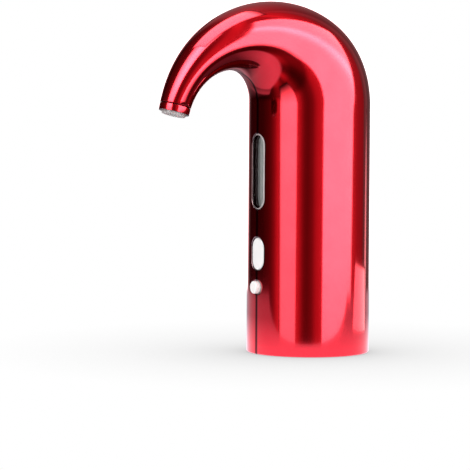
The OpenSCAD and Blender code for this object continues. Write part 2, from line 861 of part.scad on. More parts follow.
module lower_deck() {
    leg_pos = pump_r - 2.8;
    rail_x = board_w / 2 - 1;
    color("#55565c")
        difference() {
            union() {
                translate([0, 0, low_deck_z])
                    cylinder(r = deck_r, h = deck_t);
                at_posts()
                    translate([0, 0, low_deck_z])
                        cylinder(r = post_r, h = high_deck_z - low_deck_z);
                at(battery_f, low_deck_z, battery_x)
                    cylinder(r = battery_r + loose_fit + cradle_wall, h = deck_t + cradle_h);
                at(pump_f, shelf_z)
                    cylinder(r = pump_r, h = deck_t);
                for (x = [-1, 1])
                    at(pump_f, low_deck_z, x * leg_pos)
                        cylinder(r = 2, h = shelf_z - low_deck_z + eps);
                for (x = [-1, 1])
                    at(board_f + board_t + 1.4, low_deck_z, x * (rail_x + rail_w / 2) - rail_w / 2)
                        cube([rail_w, rail_l, rail_top - low_deck_z]);
            }
            translate([-rail_x, -inner_r, low_deck_z - cut])
                cube([2 * rail_x, inner_r - board_f + 1.6, deck_t + 2 * cut]);
            translate([-board_w / 2 - loose_fit, -board_front_f - loose_fit, low_deck_z - cut])
                cube([board_w + 2 * loose_fit, board_t + 2 * loose_fit, rail_top + 2 * cut]);
            translate([-pour_w / 2 - press_flange - 1, -inner_r, low_deck_z - cut])
                cube([pour_w + 2 * press_flange + 2, inner_r - board_front_f, deck_t + 2 * cut]);
            at(0, low_deck_z - cut)
                cylinder(r = sleeve_r + loose_fit, h = deck_t + 2 * cut);
            at(battery_f, low_deck_top, battery_x)
                cylinder(r = battery_r + loose_fit, h = cradle_h + cut);
            at(pump_f, low_deck_z - cut)
                cylinder(r = air_hose_out + 0.4, h = deck_t + 2 * cut);
            at(pump_f, shelf_z - cut)
                cylinder(r = air_hose_out + 0.4, h = deck_t + 2 * cut);
            at_posts()
                translate([0, 0, high_deck_z - deck_screw_l])
                    cylinder(r = screw_r + fit, h = deck_screw_l + cut);
        }
}

module upper_deck() {
    color("#55565c")
        difference() {
            union() {
                translate([0, 0, high_deck_z])
                    cylinder(r = deck_r, h = deck_t);
                at(pump_f, high_deck_z - motor_cup_h)
                    cylinder(r = motor_r + loose_fit + motor_cup_wall, h = motor_cup_h + eps);
            }
            at(pump_f, high_deck_z - motor_cup_h - cut)
                cylinder(r = motor_r + loose_fit, h = motor_cup_h + cut);
            at(pump_f, high_deck_z - cut)
                cylinder(r = bush_r + 1, h = deck_t + 2 * cut);
            at(0, high_deck_z - cut)
                cylinder(r = sleeve_r + loose_fit, h = deck_t + 2 * cut);
            at(chamber_f, high_deck_z - cut)
                cylinder(r = chamber_r + loose_fit, h = deck_t + 2 * cut);
            front_prism(window_w + 2 * lens_flange + 1, window_h + 2 * lens_flange + 1, window_z,
                lens_back_r - 1.6, body_r);
            at_posts()
                translate([0, 0, high_deck_z - cut])
                    cylinder(r = screw_r + loose_fit, h = deck_t + 2 * cut);
        }
}

module deck_screws() {
    color("#9a9ca0")
        at_posts()
            translate([0, 0, high_deck_top])
                rotate([180, 0, 0])
                    screw(deck_t + deck_screw_l - 1, screw_r, screw_head_r, screw_head_h);
}

// Wine path

module mixing_chamber() {
    color("#dfe6ea", 0.5)
        at(chamber_f, chamber_z0)
            ring(chamber_r, chamber_in_r, chamber_z1 - chamber_z0);
}

module chamber_cap() {
    color("#4a4a50")
        difference() {
            union() {
                at(chamber_f, cap_z)
                    cylinder(r = chamber_r, h = chamber_z0 - cap_z);
                at(chamber_f, cap_z)
                    cylinder(r = chamber_in_r - fit, h = cap_h);
                at(cap_nipple_f, cap_z - nipple_l)
                    cylinder(r = air_nipple_r, h = nipple_l + eps);
            }
            at(cap_nipple_f, cap_z - nipple_l - cut)
                cylinder(r = air_bore_r, h = nipple_l + cap_h + 2 * cut);
        }
}

module flow_bridge() {
    bar_w = 2 * sleeve_r + 1.4;
    rear_r = sleeve_r + 2.2;
    front_r = chamber_r + 1.4;
    color("#6a6b70")
        difference() {
            union() {
                translate([0, 0, bridge_z0])
                    cylinder(r = rear_r, h = bridge_h);
                at(chamber_f, bridge_z0)
                    cylinder(r = front_r, h = bridge_h);
                translate([-bar_w / 2, -chamber_f, bridge_z0 + 1])
                    cube([bar_w, chamber_f, bridge_h - 1]);
                at(outlet_f, bridge_top - eps)
                    cylinder(r = spout_nipple_r, h = bridge_nipple_l);
            }
            translate([0, 0, bridge_z0 - cut])
                cylinder(r = sleeve_bore_r, h = socket_depth + cut);
            at(chamber_f, bridge_z0 - cut)
                cylinder(r = chamber_r + fit, h = socket_depth + cut);
            cylinder(r = passage_r, h = channel_z);
            at(0, channel_z)
                rotate([90, 0, 0])
                    cylinder(r = passage_r, h = drop_f);
            at(drop_f, bridge_z0)
                cylinder(r = drop_r + fit, h = channel_z - bridge_z0);
            at(outlet_f, bridge_z0)
                cylinder(r = passage_r * 0.8, h = bridge_h + bridge_nipple_l + cut);
        }
}

module drop_tube() {
    color("#dfe6ea", 0.6)
        at(drop_f, chamber_z0 + 7)
            ring(drop_r, drop_r - 0.5, channel_z - chamber_z0 - 7 - passage_r);
}

module spout_hose() {
    color("#e4e4e0", 0.8)
        swept_tube(spout_hose_route, spout_hose_out, spout_hose_in, 12, [1, 0, 0]);
}

// Air path

module aeration_hose() {
    color("#e4e4e0", 0.8)
        swept_tube(aeration_route, air_hose_out, air_hose_in, 8, [0, 0, 1]);
}

module air_hoses() {
    lower_z = low_deck_top + 0.2;
    upper_z = check_z + check_nipple_l + check_body_h + 0.2;
    color("#e4e4e0", 0.8) {
        at(pump_f, lower_z)
            ring(air_hose_out, air_hose_in, check_z + check_nipple_l - 0.2 - lower_z);
        at(pump_f, upper_z)
            ring(air_hose_out, air_hose_in, cover_z - 0.2 - upper_z);
    }
}

module check_valve() {
    color("#d8d9dc")
        at(pump_f, check_z)
            rotate_extrude()
                polygon([[air_bore_r, 0], [air_nipple_r, 0], [air_nipple_r, check_nipple_l],
                    [check_r - 0.6, check_nipple_l], [check_r, check_nipple_l + 0.6],
                    [check_r, check_nipple_l + check_body_h - 0.6],
                    [check_r - 0.6, check_nipple_l + check_body_h],
                    [air_nipple_r, check_nipple_l + check_body_h], [air_nipple_r, check_top - check_z],
                    [air_bore_r, check_top - check_z]]);
}

module pump_screw_holes(r, z0, z1) {
    for (a = [60 : 120 : 300])
        rotate([0, 0, a])
            translate([pump_screw_pos, 0, z0])
                cylinder(r = r, h = z1 - z0);
}

module at_cups() {
    for (a = [0 : 120 : 240])
        rotate([0, 0, a])
            translate([cup_pos, 0, 0])
                children();
}

module pump_cover() {
    color("#3a3a3e")
        at_pump()
            difference() {
                union() {
                    translate([0, 0, cover_z])
                        cylinder(r = pump_r, h = cover_h);
                    translate([0, 0, pump_nipple_z])
                        cylinder(r = air_nipple_r, h = cover_z - pump_nipple_z + eps);
                    translate([0, 0, side_nipple_z])
                        rotate([0, 90, side_nipple_turn])
                            cylinder(r = air_nipple_r, h = pump_r + nipple_l);
                }
                translate([0, 0, cover_z + 2])
                    cylinder(r = cup_pos + 1.4, h = cover_h);
                translate([0, 0, pump_nipple_z - cut])
                    cylinder(r = air_bore_r, h = cover_h + cut);
                translate([0, 0, side_nipple_z])
                    rotate([0, 90, side_nipple_turn])
                        cylinder(r = air_bore_r, h = pump_r + nipple_l + cut);
                pump_screw_holes(pump_screw_r + fit, cover_z - cut, valve_z + cut);
                pump_screw_holes(1.4 + fit, cover_z - cut, cover_z + 1.4);
            }
}

module valve_plate() {
    color("#d8d9dc")
        at_pump()
            difference() {
                translate([0, 0, valve_z])
                    cylinder(r = pump_r, h = valve_plate_t);
                translate([0, 0, valve_z - cut])
                    cylinder(r = stem_r + fit, h = valve_plate_t + 2 * cut);
                at_cups()
                    for (a = [0 : 120 : 240])
                        rotate([0, 0, a + 60])
                            translate([1.2, 0, valve_z - cut])
                                cylinder(r = 0.5, h = valve_plate_t + 2 * cut);
                pump_screw_holes(pump_screw_r + fit, valve_z - cut, valve_top + cut);
            }
}

module outlet_valve() {
    color("#b4452e")
        at_pump()
            union() {
                translate([0, 0, valve_z - 0.9])
                    cylinder(r1 = cup_pos + 0.2, r2 = cup_pos + 0.9, h = 0.9);
                translate([0, 0, valve_z - eps])
                    cylinder(r = stem_r, h = valve_plate_t + 2 * eps);
                translate([0, 0, valve_top])
                    cylinder(r1 = stem_r + 0.4, r2 = stem_r, h = diaphragm_t - 0.2);
            }
}

// Height of one chamber's top under the leaning rocker
function cup_top(a) = wobble_z - arm_t / 2 - arm_gap - cup_pos * tan(wobble_angle) * cos(a);

module pump_diaphragm() {
    color("#26262a")
        at_pump()
            difference() {
                union() {
                    translate([0, 0, valve_top])
                        cylinder(r = pump_r, h = diaphragm_t);
                    for (a = [0 : 120 : 240])
                        rotate([0, 0, a])
                            translate([cup_pos, 0, 0]) {
                                translate([0, 0, case_z - eps])
                                    cylinder(r = cup_r, h = cup_top(a) - case_z + eps);
                                translate([0, 0, cup_top(a) - eps])
                                    cylinder(r = stem_r, h = arm_t + 2 * arm_gap + 2 * eps);
                                translate([0, 0, cup_top(a) + arm_t + 2 * arm_gap])
                                    cylinder(r1 = stem_r + 0.7, r2 = stem_r, h = 1);
                            }
                }
                translate([0, 0, valve_top - cut])
                    cylinder(r = stem_r + 0.8, h = diaphragm_t + 2 * cut);
                for (a = [0 : 120 : 240])
                    rotate([0, 0, a])
                        translate([cup_pos, 0, valve_top - cut])
                            cylinder(r = cup_r - 0.9, h = cup_top(a) - cup_floor - valve_top + cut);
                pump_screw_holes(pump_screw_r + fit, valve_top - cut, case_z + cut);
            }
}

module pump_case() {
    color("#3a3a3e")
        at_pump()
            difference() {
                translate([0, 0, case_z])
                    cylinder(r = pump_r, h = case_h);
                translate([0, 0, case_z - cut])
                    cylinder(r = case_bore_r, h = case_h - case_roof + cut);
                translate([0, 0, case_z])
                    cylinder(r = bush_r + 0.8, h = case_h + cut);
                pump_screw_holes(pump_screw_r + fit, case_z - cut, case_z + 8);
                for (a = [0 : 120 : 240])
                    translate([0, 0, case_z + case_h - case_roof - 3])
                        rotate([0, 90, a + 60])
                            cylinder(r = 1.2, h = pump_r + cut);
                for (a = [0, 180])
                    rotate([0, 0, a])
                        translate([motor_r * 0.6, 0, motor_face - case_roof - cut])
                            cylinder(r = screw_r + fit, h = case_roof + 2 * cut);
            }
}

module pump_screws() {
    color("#9a9ca0")
        at_pump()
            for (a = [60 : 120 : 300])
                rotate([0, 0, a])
                    translate([pump_screw_pos, 0, cover_z + 1.3])
                        screw(case_z + 7 - cover_z - 1.3, pump_screw_r, 1.4, 1.2);
}

// Motor and wobble drive

module motor_can() {
    color("#b9bcc2")
        at_pump()
            difference() {
                translate([0, 0, motor_face])
                    cylinder(r = motor_r, h = can_h);
                translate([0, 0, motor_face + can_floor])
                    cylinder(r = can_in_r, h = can_h);
                translate([0, 0, motor_face - cut])
                    cylinder(r = bush_r + fit, h = can_floor + 2 * cut);
            }
}

module motor_magnets() {
    color("#2c2c30")
        at_pump()
            for (a = [-65, 115])
                rotate([0, 0, a])
                    rotate_extrude(angle = 130)
                        translate([magnet_r, motor_face + 4])
                            square([can_in_r - fit - magnet_r, can_h - 7]);
}

module motor_end_cap() {
    color("#e0dfd8")
        at_pump()
            difference() {
                union() {
                    translate([0, 0, can_top])
                        cylinder(r = motor_r, h = end_cap_h);
                    translate([0, 0, can_top - 1.5])
                        cylinder(r = can_in_r - fit, h = 1.5 + eps);
                }
                translate([0, 0, can_top - 1.5 - cut])
                    cylinder(r = bush_r + fit, h = end_cap_h + 1.5 + 2 * cut);
            }
}

module motor_bushes() {
    color("#b08d57")
        at_pump()
            for (z = [motor_face, motor_top - bush_h])
                translate([0, 0, z])
                    ring(bush_r, shaft_r + run_fit / 2, bush_h);
}

module motor_shaft() {
    color("#c9ccd2")
        at_pump()
            translate([0, 0, shaft_end])
                cylinder(r = shaft_r, h = motor_top - 0.4 - shaft_end);
}

module armature() {
    z0 = motor_face + bush_h + 3;
    z1 = can_top - 7;
    color("#b5651d")
        at_pump()
            difference() {
                union() {
                    translate([0, 0, z0])
                        cylinder(r = armature_r * 0.4, h = z1 - z0);
                    for (a = [0 : 120 : 240])
                        rotate([0, 0, a]) {
                            rotate_extrude(angle = 92)
                                translate([armature_r - 1.6, z0])
                                    square([1.6, z1 - z0]);
                            rotate([0, 0, 46])
                                translate([0, -1.6, z0 + 0.5])
                                    cube([armature_r - 1, 3.2, z1 - z0 - 1]);
                        }
                    translate([0, 0, z1])
                        cylinder(r = armature_r * 0.36, h = 4.5);
                }
                translate([0, 0, z0 - cut])
                    cylinder(r = shaft_r + fit / 2, h = can_h);
            }
}

module on_wobble_axis() {
    translate([0, -pump_f, wobble_z])
        rotate([0, wobble_angle, 0])
            children();
}

module pump_cam() {
    color("#e9e6dc")
        difference() {
            at_pump()
                translate([0, 0, cam_z])
                    cylinder(d = cam_d, h = cam_top - cam_z);
            at_pump()
                translate([0, 0, shaft_end])
                    cylinder(r = shaft_r + fit / 2, h = cam_top);
            on_wobble_axis()
                cylinder(r = pin_r + fit / 2, h = pin_top + 0.1);
        }
}

module wobble_pin() {
    color("#c9ccd2")
        on_wobble_axis()
            translate([0, 0, 0.5])
                cylinder(r = pin_r, h = pin_top - 0.5);
}

module pump_rocker() {
    color("#e9e6dc")
        on_wobble_axis()
            difference() {
                union() {
                    translate([0, 0, -arm_t / 2])
                        cylinder(r = rocker_hub_r, h = arm_t / 2 + rocker_hub_top);
                    for (a = [0 : 120 : 240])
                        rotate([0, 0, a]) {
                            translate([0, -arm_r, -arm_t / 2])
                                cube([cup_pos, 2 * arm_r, arm_t]);
                            translate([cup_pos, 0, -arm_t / 2])
                                cylinder(r = arm_r, h = arm_t);
                        }
                }
                translate([0, 0, 0.4])
                    cylinder(r = pin_r + run_fit, h = rocker_hub_top + cut);
                at_cups()
                    translate([0, 0, -arm_t])
                        cylinder(r = stem_r + arm_gap, h = 2 * arm_t);
            }
}

// Battery and boards

module battery_cell() {
    color("#2f6fb0")
        at(battery_f, low_deck_top, battery_x)
            union() {
                cylinder(r = battery_r, h = battery_l);
                translate([0, 0, battery_l - eps])
                    cylinder(r = battery_r * 0.45, h = 1.2);
            }
}

module button_board() {
    color("#1f5f3a")
        translate([-board_w / 2, -board_front_f, board_z0])
            cube([board_w, board_t, board_z1 - board_z0]);
}

module push_switches() {
    color("#202024")
        for (z = [pour_z, power_z]) {
            translate([-switch_w / 2, -board_front_f - switch_h, z - switch_w / 2])
                cube([switch_w, switch_h, switch_w]);
            facing_front(board_front_f + switch_h - eps, z)
                cylinder(r = actuator_r, h = actuator_l + eps);
        }
}

module window_lamp() {
    color("#f4f4e8")
        for (x = [-1, 1])
            translate([x * (switch_w / 2 + 3) - 1.5, -board_front_f - 1.2, board_z1 - 3])
                cube([3, 1.2, 2]);
}

module charge_board() {
    color("#1f5f3a")
        translate([-charge_board_w / 2, charge_board_inner, charge_board_z])
            cube([charge_board_w, charge_board_edge - charge_board_inner, board_t]);
}

module charge_socket() {
    shell_t = 0.35;
    color("#c9ccd2")
        translate([0, -usb_mouth_f, usb_z])
            rotate([90, 0, 0])
                difference() {
                    linear_extrude(usb_l)
                        rotate([0, 0, 90])
                            stadium(usb_h, usb_w);
                    difference() {
                        translate([0, 0, -cut])
                            linear_extrude(usb_l + cut - 1)
                                rotate([0, 0, 90])
                                    stadium(usb_h - 2 * shell_t, usb_w - 2 * shell_t);
                        translate([-usb_w / 2 + 1.1, -0.35, 0.8])
                            cube([usb_w - 2.2, 0.7, usb_l]);
                    }
                }
}

// Telescopic dip tube

module tube_section(k, top, has_lip) {
    bore_r = tube_in(k);
    lip_r = has_lip ? tube_out(k + 1) + run_fit : bore_r;
    collar_out = k > 0 ? tube_in(k - 1) - run_fit : tube_out(k);
    translate([0, 0, tube_bottom])
        rotate_extrude()
            polygon([[lip_r, 0], [tube_out(k), 0], [tube_out(k), top - tube_bottom - guide_h],
                [collar_out, top - tube_bottom - guide_h], [collar_out, top - tube_bottom],
                [bore_r, top - tube_bottom], [bore_r, guide_h], [lip_r, guide_h]]);
}

module tube_sleeve() {
    color("#c9ccd2")
        tube_section(0, sleeve_top, true);
}

module tube_upper() {
    color("#c9ccd2")
        tube_section(1, tube_head, true);
}

module tube_middle() {
    color("#c9ccd2")
        tube_section(2, tube_head, true);
}

module tube_lower() {
    color("#c9ccd2")
        tube_section(3, tube_head, false);
}

module tube_foot() {
    color("#3a3a3e")
        translate([0, 0, tube_bottom - foot_t - 0.1])
            difference() {
                union() {
                    cylinder(r1 = sleeve_r - 0.4, r2 = sleeve_r, h = foot_t);
                    cylinder(r = tube_in(3) - fit, h = foot_t + 4);
                }
                translate([0, 0, -cut])
                    cylinder(r = tube_in(3) - 0.6, h = foot_t + 4 + 2 * cut);
            }
}

right_shell();
left_shell();
nozzle_ring();
nozzle_insert();
window_lens();
pour_button();
power_button();
base_cover();
base_screws();
neck_seat();
bottle_stopper();
lower_deck();
upper_deck();
deck_screws();
mixing_chamber();
chamber_cap();
flow_bridge();
drop_tube();
spout_hose();
aeration_hose();
air_hoses();
check_valve();
pump_cover();
valve_plate();
outlet_valve();
pump_diaphragm();
pump_case();
pump_screws();
motor_can();
motor_magnets();
motor_end_cap();
motor_bushes();
motor_shaft();
armature();
pump_cam();
wobble_pin();
pump_rocker();
battery_cell();
button_board();
push_switches();
window_lamp();
charge_board();
charge_socket();
tube_sleeve();
tube_upper();
tube_middle();
tube_lower();
tube_foot();
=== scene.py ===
"""Electric wine aerator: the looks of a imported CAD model.

Every size is in metres, in the CAD model's frame: front towards -Y, base on z = 0, spout in the plane x = 0.
Outlines in the plane of symmetry are pairs (f, z), where f is the distance forward, which is -y.
"""

import math

import bmesh
import bpy
import numpy as np
from bpy.props import FloatProperty, FloatVectorProperty, PointerProperty
from mathutils import Matrix, Vector


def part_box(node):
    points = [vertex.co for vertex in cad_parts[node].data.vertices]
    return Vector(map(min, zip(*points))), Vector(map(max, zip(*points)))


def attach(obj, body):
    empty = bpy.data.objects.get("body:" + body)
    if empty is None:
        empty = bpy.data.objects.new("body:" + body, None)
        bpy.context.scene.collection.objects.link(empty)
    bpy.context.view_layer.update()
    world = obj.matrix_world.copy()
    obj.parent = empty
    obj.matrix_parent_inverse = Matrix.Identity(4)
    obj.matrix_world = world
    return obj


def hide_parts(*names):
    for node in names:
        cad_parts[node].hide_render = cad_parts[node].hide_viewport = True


bl_info = {
    "name": "Wine Aerator",
    "version": (1, 0, 0),
    "blender": (4, 5, 0),
    "location": "View3D > Sidebar > Aerator",
    "description": "Lacquered shells, window, keys, nozzle and inner works of an electric wine aerator",
    "category": "Object",
}

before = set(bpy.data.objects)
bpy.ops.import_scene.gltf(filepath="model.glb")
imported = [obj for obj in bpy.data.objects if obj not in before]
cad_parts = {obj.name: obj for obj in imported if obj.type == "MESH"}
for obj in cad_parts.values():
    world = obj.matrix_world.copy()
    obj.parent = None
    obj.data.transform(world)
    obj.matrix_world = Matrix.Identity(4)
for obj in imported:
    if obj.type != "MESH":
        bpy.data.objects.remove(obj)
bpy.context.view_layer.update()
MM = 0.001

SHELL_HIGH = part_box("right_shell")[1]
LENS_LOW, LENS_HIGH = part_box("window_lens")
POUR_LOW, POUR_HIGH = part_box("pour_button")
POWER_LOW, POWER_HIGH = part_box("power_button")
SOCKET_LOW, SOCKET_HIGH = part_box("charge_socket")

# Places and directions that several pieces share
BASE = (0, 0, 0)
PUMP_AXIS = (0, 17.55 * MM, 0)
UP = (0, 0, 1)
FRONT = (0, -1, 0)

# Outer and inner radius of the hoses, rounding of their ends as a share of the wall, a direction that no hose
# starts in, a key's flange, and the clearances of the lens and the keys
AIR_HOSE = (2.85 * MM, 1.85 * MM)
SPOUT_HOSE = (3.65 * MM, 2.65 * MM)
END_ROUND = 0.3
ANY_SIDE = (0.3, 0.5, 0.81)
KEY_FLANGE_DEPTH = 1.0 * MM
LENS_FIT = 0.05 * MM
KEY_FIT = 0.15 * MM

# Rings of a curved face, rows along the hook and the share of it at which its rounded end starts, columns
# round a shell, and the closest spacing of its rows and points
FACE_STEPS = 9
HOOK_ROWS = 120
HOOK_END = 0.996
SHELL_COLUMNS = 73
CLOSE = 0.02 * MM

# Points that merge, slivers that go, and the angle past which an edge is sharp
SAME_POINT = 1e-6
SLIVER = 1e-7
SHARP_EDGE = math.radians(35)


# Settings

def length(label, description, default):
    """A length property in metres."""
    return FloatProperty(name=label, description=description, default=default, unit="LENGTH", precision=5)


def share(label, description, default):
    """A plain number property."""
    return FloatProperty(name=label, description=description, default=default, precision=4)


def turn(label, description, degrees):
    """An angle property, given in degrees."""
    return FloatProperty(name=label, description=description, default=math.radians(degrees), unit="ROTATION")


def colour(label, description, default):
    """A linear colour property."""
    return FloatVectorProperty(name=label, description=description, default=default, size=3, subtype="COLOR",
                               min=0.0, max=1.0)


class AeratorSizes(bpy.types.PropertyGroup):
    """Sizes of the pieces that are shaped here."""

    body_radius: length("Body radius", "Outside radius of the straight body", SHELL_HIGH.y)
    wall: length("Wall", "Thickness of the two half shells", 2.4 * MM)
    shoulder: length("Shoulder", "Height at which the body turns into the hooked spout", 135 * MM)
    base_round: length("Base rounding", "Radius round the bottom edge", 0.8 * MM)
    spout_reach: length("Spout reach", "Forward distance of the spout's end", 85.26 * MM)
    spout_height: length("Spout height", "Height of the spout's end", 135.03 * MM)
    spout_tilt: turn("Spout tilt", "Lean of the spout's end away from straight down", 15)
    spout_radius: length("Spout radius", "Outside radius of the spout's end", 8.5 * MM)
    crown_back: length("Crown back", "Upper outline's curve handle at the shoulder", 72.5 * MM)
    crown_front: length("Crown front", "Upper outline's curve handle at the spout's end", 77 * MM)
    arch_back: length("Arch back", "Lower outline's curve handle at the shoulder", 25.5 * MM)
    arch_front: length("Arch front", "Lower outline's curve handle at the spout's end", 27 * MM)
    seam_half: length("Seam half gap", "Half of the gap between the two half shells", 0.16 * MM)
    seam_round: length("Seam rounding", "Radius of the shells' edges along the seam", 0.05 * MM)
    rim_round: length("Rim rounding", "Radius of the shells' edges round the openings", 0.4 * MM)
    lens_flange: length("Lens flange", "Width of the lens flange behind the shell", 1.75 * MM)
    lens_flange_depth: length("Lens flange depth", "Thickness of the lens flange", 1.6 * MM)
    lens_recess: length("Lens recess", "Depth of the lens below the shell's surface", 0.1 * MM)
    lens_round: length("Lens rounding", "Radius of the lens edge", 0.9 * MM)
    key_flange: length("Key flange", "Width of a key's flange behind the shell", 1.4 * MM)
    key_gap: length("Key gap", "Gap between a key and its opening", 0.3 * MM)
    key_round: length("Key rounding", "Radius of a key's front edge", 0.6 * MM)
    pour_recess: length("Pour recess", "Depth of the pour key below the shell's surface", 0.3 * MM)
    power_dome: length("Power dome", "Radius of the power key's domed face", 12 * MM)
    socket_gap: length("Socket gap", "Gap round the charging socket", 0.2 * MM)


class AeratorFinish(bpy.types.PropertyGroup):
    """Colours of the finishes."""

    lacquer: colour("Lacquer", "Red lacquer over bright metal", (0.90, 0.035, 0.055))
    lacquer_deep: colour("Deep lacquer", "Lacquer where its coat is thicker", (0.87, 0.031, 0.050))
    # Pale colour of the rounded rims of the openings and of the ring's lower edge: a painted highlight
    rim_highlight: colour("Worn rim", "Thin lacquer on the rims of the openings", (0.46, 0.30, 0.31))
    white: colour("Key white", "Satin white plastic of the keys", (0.94, 0.94, 0.93))
    clear: colour("Clear plastic", "Tint of the clear pieces", (0.94, 0.96, 0.96))
    smoke: colour("Mixing chamber", "Tint of the chamber behind the window", (0.48, 0.48, 0.45))
    cloudy: colour("Cloudy plastic", "Tint of the nozzle's insert", (0.86, 0.81, 0.80))
    # Pale pink of the window's matt rounded edge, which paints the highlight along that edge
    frost: colour("Frosted edge", "Ground edge of the window", (0.62, 0.54, 0.54))
    dark: colour("Dark plastic", "Moulded plastic of the base and the frame", (0.030, 0.030, 0.033))
    rubber: colour("Black silicone", "Stopper and seals", (0.016, 0.016, 0.018))
    milky: colour("Milky silicone", "Hoses and valves", (0.70, 0.70, 0.66))
    steel: colour("Steel", "Tubes, screws and the motor's can", (0.42, 0.43, 0.45))
    brass: colour("Bronze", "Sintered bushes", (0.62, 0.44, 0.20))
    ferrite: colour("Ferrite", "Motor magnets", (0.050, 0.050, 0.055))
    copper: colour("Copper", "Varnished winding", (0.58, 0.23, 0.09))
    sleeve: colour("Battery sleeve", "Shrink sleeve of the cell", (0.04, 0.15, 0.42))
    board: colour("Board", "Solder mask of the boards", (0.015, 0.16, 0.05))


class StudioSettings(bpy.types.PropertyGroup):
    """Camera, floor and light."""

    distance: length("Camera distance", "Level distance from the part's axis", 1.5)
    azimuth: turn("Camera azimuth", "Angle of the camera round from the front", 56)
    height: length("Camera height", "Height of the camera above the base", 0.1582)
    aim_side: share("Aim sideways", "Sideways aim, as a tangent", -0.02673)
    aim_down: share("Aim downwards", "Downward aim, as a tangent", -0.06316)
    roll: turn("Camera roll", "Turn of the picture", 0.34)
    focal: share("Focal length", "Focal length in millimetres on a 36 mm sensor", 210.4)
    box_light: share("Softbox light", "Brightness of the softboxes in reflections", 5.6)
    ambient: share("Ambient light", "Even light on matt surfaces", 0.75)


# Grids and meshes

def grid_quads(rows, columns, wrap=True):
    """Quads of a grid numbered row by row; with wrap, the last column joins the first."""
    row = np.arange(rows - 1)[:, None] * columns
    here = np.arange(columns if wrap else columns - 1)[None, :]
    after = (here + 1) % columns
    above = row + columns
    return np.stack([row + here, row + after, above + after, above + here], -1).reshape(-1, 4)


def quad_mesh(name, points, quads):
    """A mesh of quads, taken from whole arrays."""
    mesh = bpy.data.meshes.new(name)
    mesh.vertices.add(len(points))
    mesh.vertices.foreach_set("co", points.astype(np.float32).ravel())
    mesh.loops.add(quads.size)
    mesh.loops.foreach_set("vertex_index", quads.astype(np.int32).ravel())
    mesh.polygons.add(len(quads))
    mesh.polygons.foreach_set("loop_start", np.arange(0, quads.size, 4, dtype=np.int32))
    mesh.update(calc_edges=True)
    return mesh


def set_attribute(mesh, name, values):
    """Stores one number for each point of a mesh."""
    stored = mesh.attributes.new(name, "FLOAT", "POINT")
    stored.data.foreach_set("value", np.asarray(values, np.float32).ravel())


def build_mesh(name, parts, masks=None):
    """A closed mesh from parts (points, quads): doubles are merged, so that poles and seams close, and the
    faces are turned outwards. Masks, one value for each point, are kept as attributes."""
    starts = np.cumsum([0] + [len(part[0]) for part in parts])
    points = np.concatenate([part[0] for part in parts])
    quads = np.concatenate([part[1] + start for part, start in zip(parts, starts)])
    mesh = quad_mesh(name, points, quads)
    for label, values in (masks or {}).items():
        set_attribute(mesh, label, values)
    work = bmesh.new()
    work.from_mesh(mesh)
    bmesh.ops.remove_doubles(work, verts=work.verts, dist=SAME_POINT)
    bmesh.ops.dissolve_degenerate(work, edges=work.edges, dist=SLIVER)
    bmesh.ops.recalc_face_normals(work, faces=work.faces)
    work.to_mesh(mesh)
    work.free()
    mesh.shade_smooth()
    mesh.set_sharp_from_angle(angle=SHARP_EDGE)
    return mesh


def add_object(name, data):
    """A new object in the scene."""
    made = bpy.data.objects.new(name, data)
    bpy.context.scene.collection.objects.link(made)
    return made


def add_piece(name, parts, material, body, node, masks=None):
    """Adds a piece that stands for a CAD node and moves with its body."""
    piece = add_object(name, build_mesh(name, parts, masks))
    piece.data.materials.append(material)
    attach(piece, body)
    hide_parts(node)
    return piece


def mark_faces(piece, label, material):
    """Gives a second finish to the faces of a piece whose points all carry a mask."""
    mesh = piece.data
    mesh.materials.append(material)
    held = np.empty(len(mesh.vertices), np.float32)
    corner = np.empty(len(mesh.loops), np.int32)
    first = np.empty(len(mesh.polygons), np.int32)
    mesh.attributes[label].data.foreach_get("value", held)
    mesh.loops.foreach_get("vertex_index", corner)
    mesh.polygons.foreach_get("loop_start", first)
    marked = np.minimum.reduceat(held[corner], first) > 0.5
    mesh.polygons.foreach_set("material_index", marked.astype(np.int32))


def unit(vector):
    """A vector of length one."""
    return vector / np.linalg.norm(vector)


def rounded(corners, radii, steps=6):
    """A closed outline whose corners are rounded: each arc touches both sides of its corner at a distance of
    radius / tan(half the corner's angle) from it."""
    corners = np.asarray(corners, float)
    outline = []
    for here, before, after, radius in zip(corners, np.roll(corners, 1, 0), np.roll(corners, -1, 0), radii):
        if radius == 0:
            outline.append(here[None])
            continue
        a, b = unit(before - here), unit(after - here)
        half = math.acos(np.clip(a @ b, -1, 1)) / 2
        centre = here + unit(a + b) * radius / math.sin(half)
        start = here + a * radius / math.tan(half) - centre
        stop = here + b * radius / math.tan(half) - centre
        sweep = math.pi - 2 * half
        s = np.linspace(0, 1, steps)[:, None]
        arc = (np.sin((1 - s) * sweep) * start + np.sin(s * sweep) * stop) / math.sin(sweep)
        outline.append(centre + arc)
    return np.concatenate(outline)


def revolve(outline, origin, axis, segments=96, closed=True):
    """A solid of revolution. Outline points are (s, r): s along the axis from the origin, r away from it; the
    point is origin + s axis + r (cos a side + sin a up)."""
    axis = unit(np.asarray(axis, float))
    side = unit(np.cross(axis, (0.0, 0.6, 0.8)))
    up = np.cross(axis, side)
    if closed:
        outline = np.concatenate([outline, outline[:1]])
    a = np.linspace(0, 2 * math.pi, segments, endpoint=False)
    ring = np.cos(a)[:, None] * side + np.sin(a)[:, None] * up
    points = np.asarray(origin) + outline[:, None, :1] * axis + outline[:, None, 1:] * ring[None]
    return points.reshape(-1, 3), grid_quads(len(outline), segments)


def turned(corners, origin, axis, segments, radii=None):
    """A solid of revolution in millimetres: a closed outline with rounded corners where there are radii, and
    otherwise a sharp one from the axis back to the axis."""
    outline = np.array(corners) * MM
    if radii is None:
        return revolve(outline, origin, axis, segments, closed=False)
    return revolve(rounded(outline, np.array(radii) * MM), origin, axis, segments)


# Shells

def bezier(a, b, c, d, t):
    """Cubic curve from a to d with handles b and c, one point for each value of t."""
    t = t[:, None]
    return (1 - t) ** 3 * a + 3 * (1 - t) ** 2 * t * b + 3 * (1 - t) * t ** 2 * c + t ** 3 * d


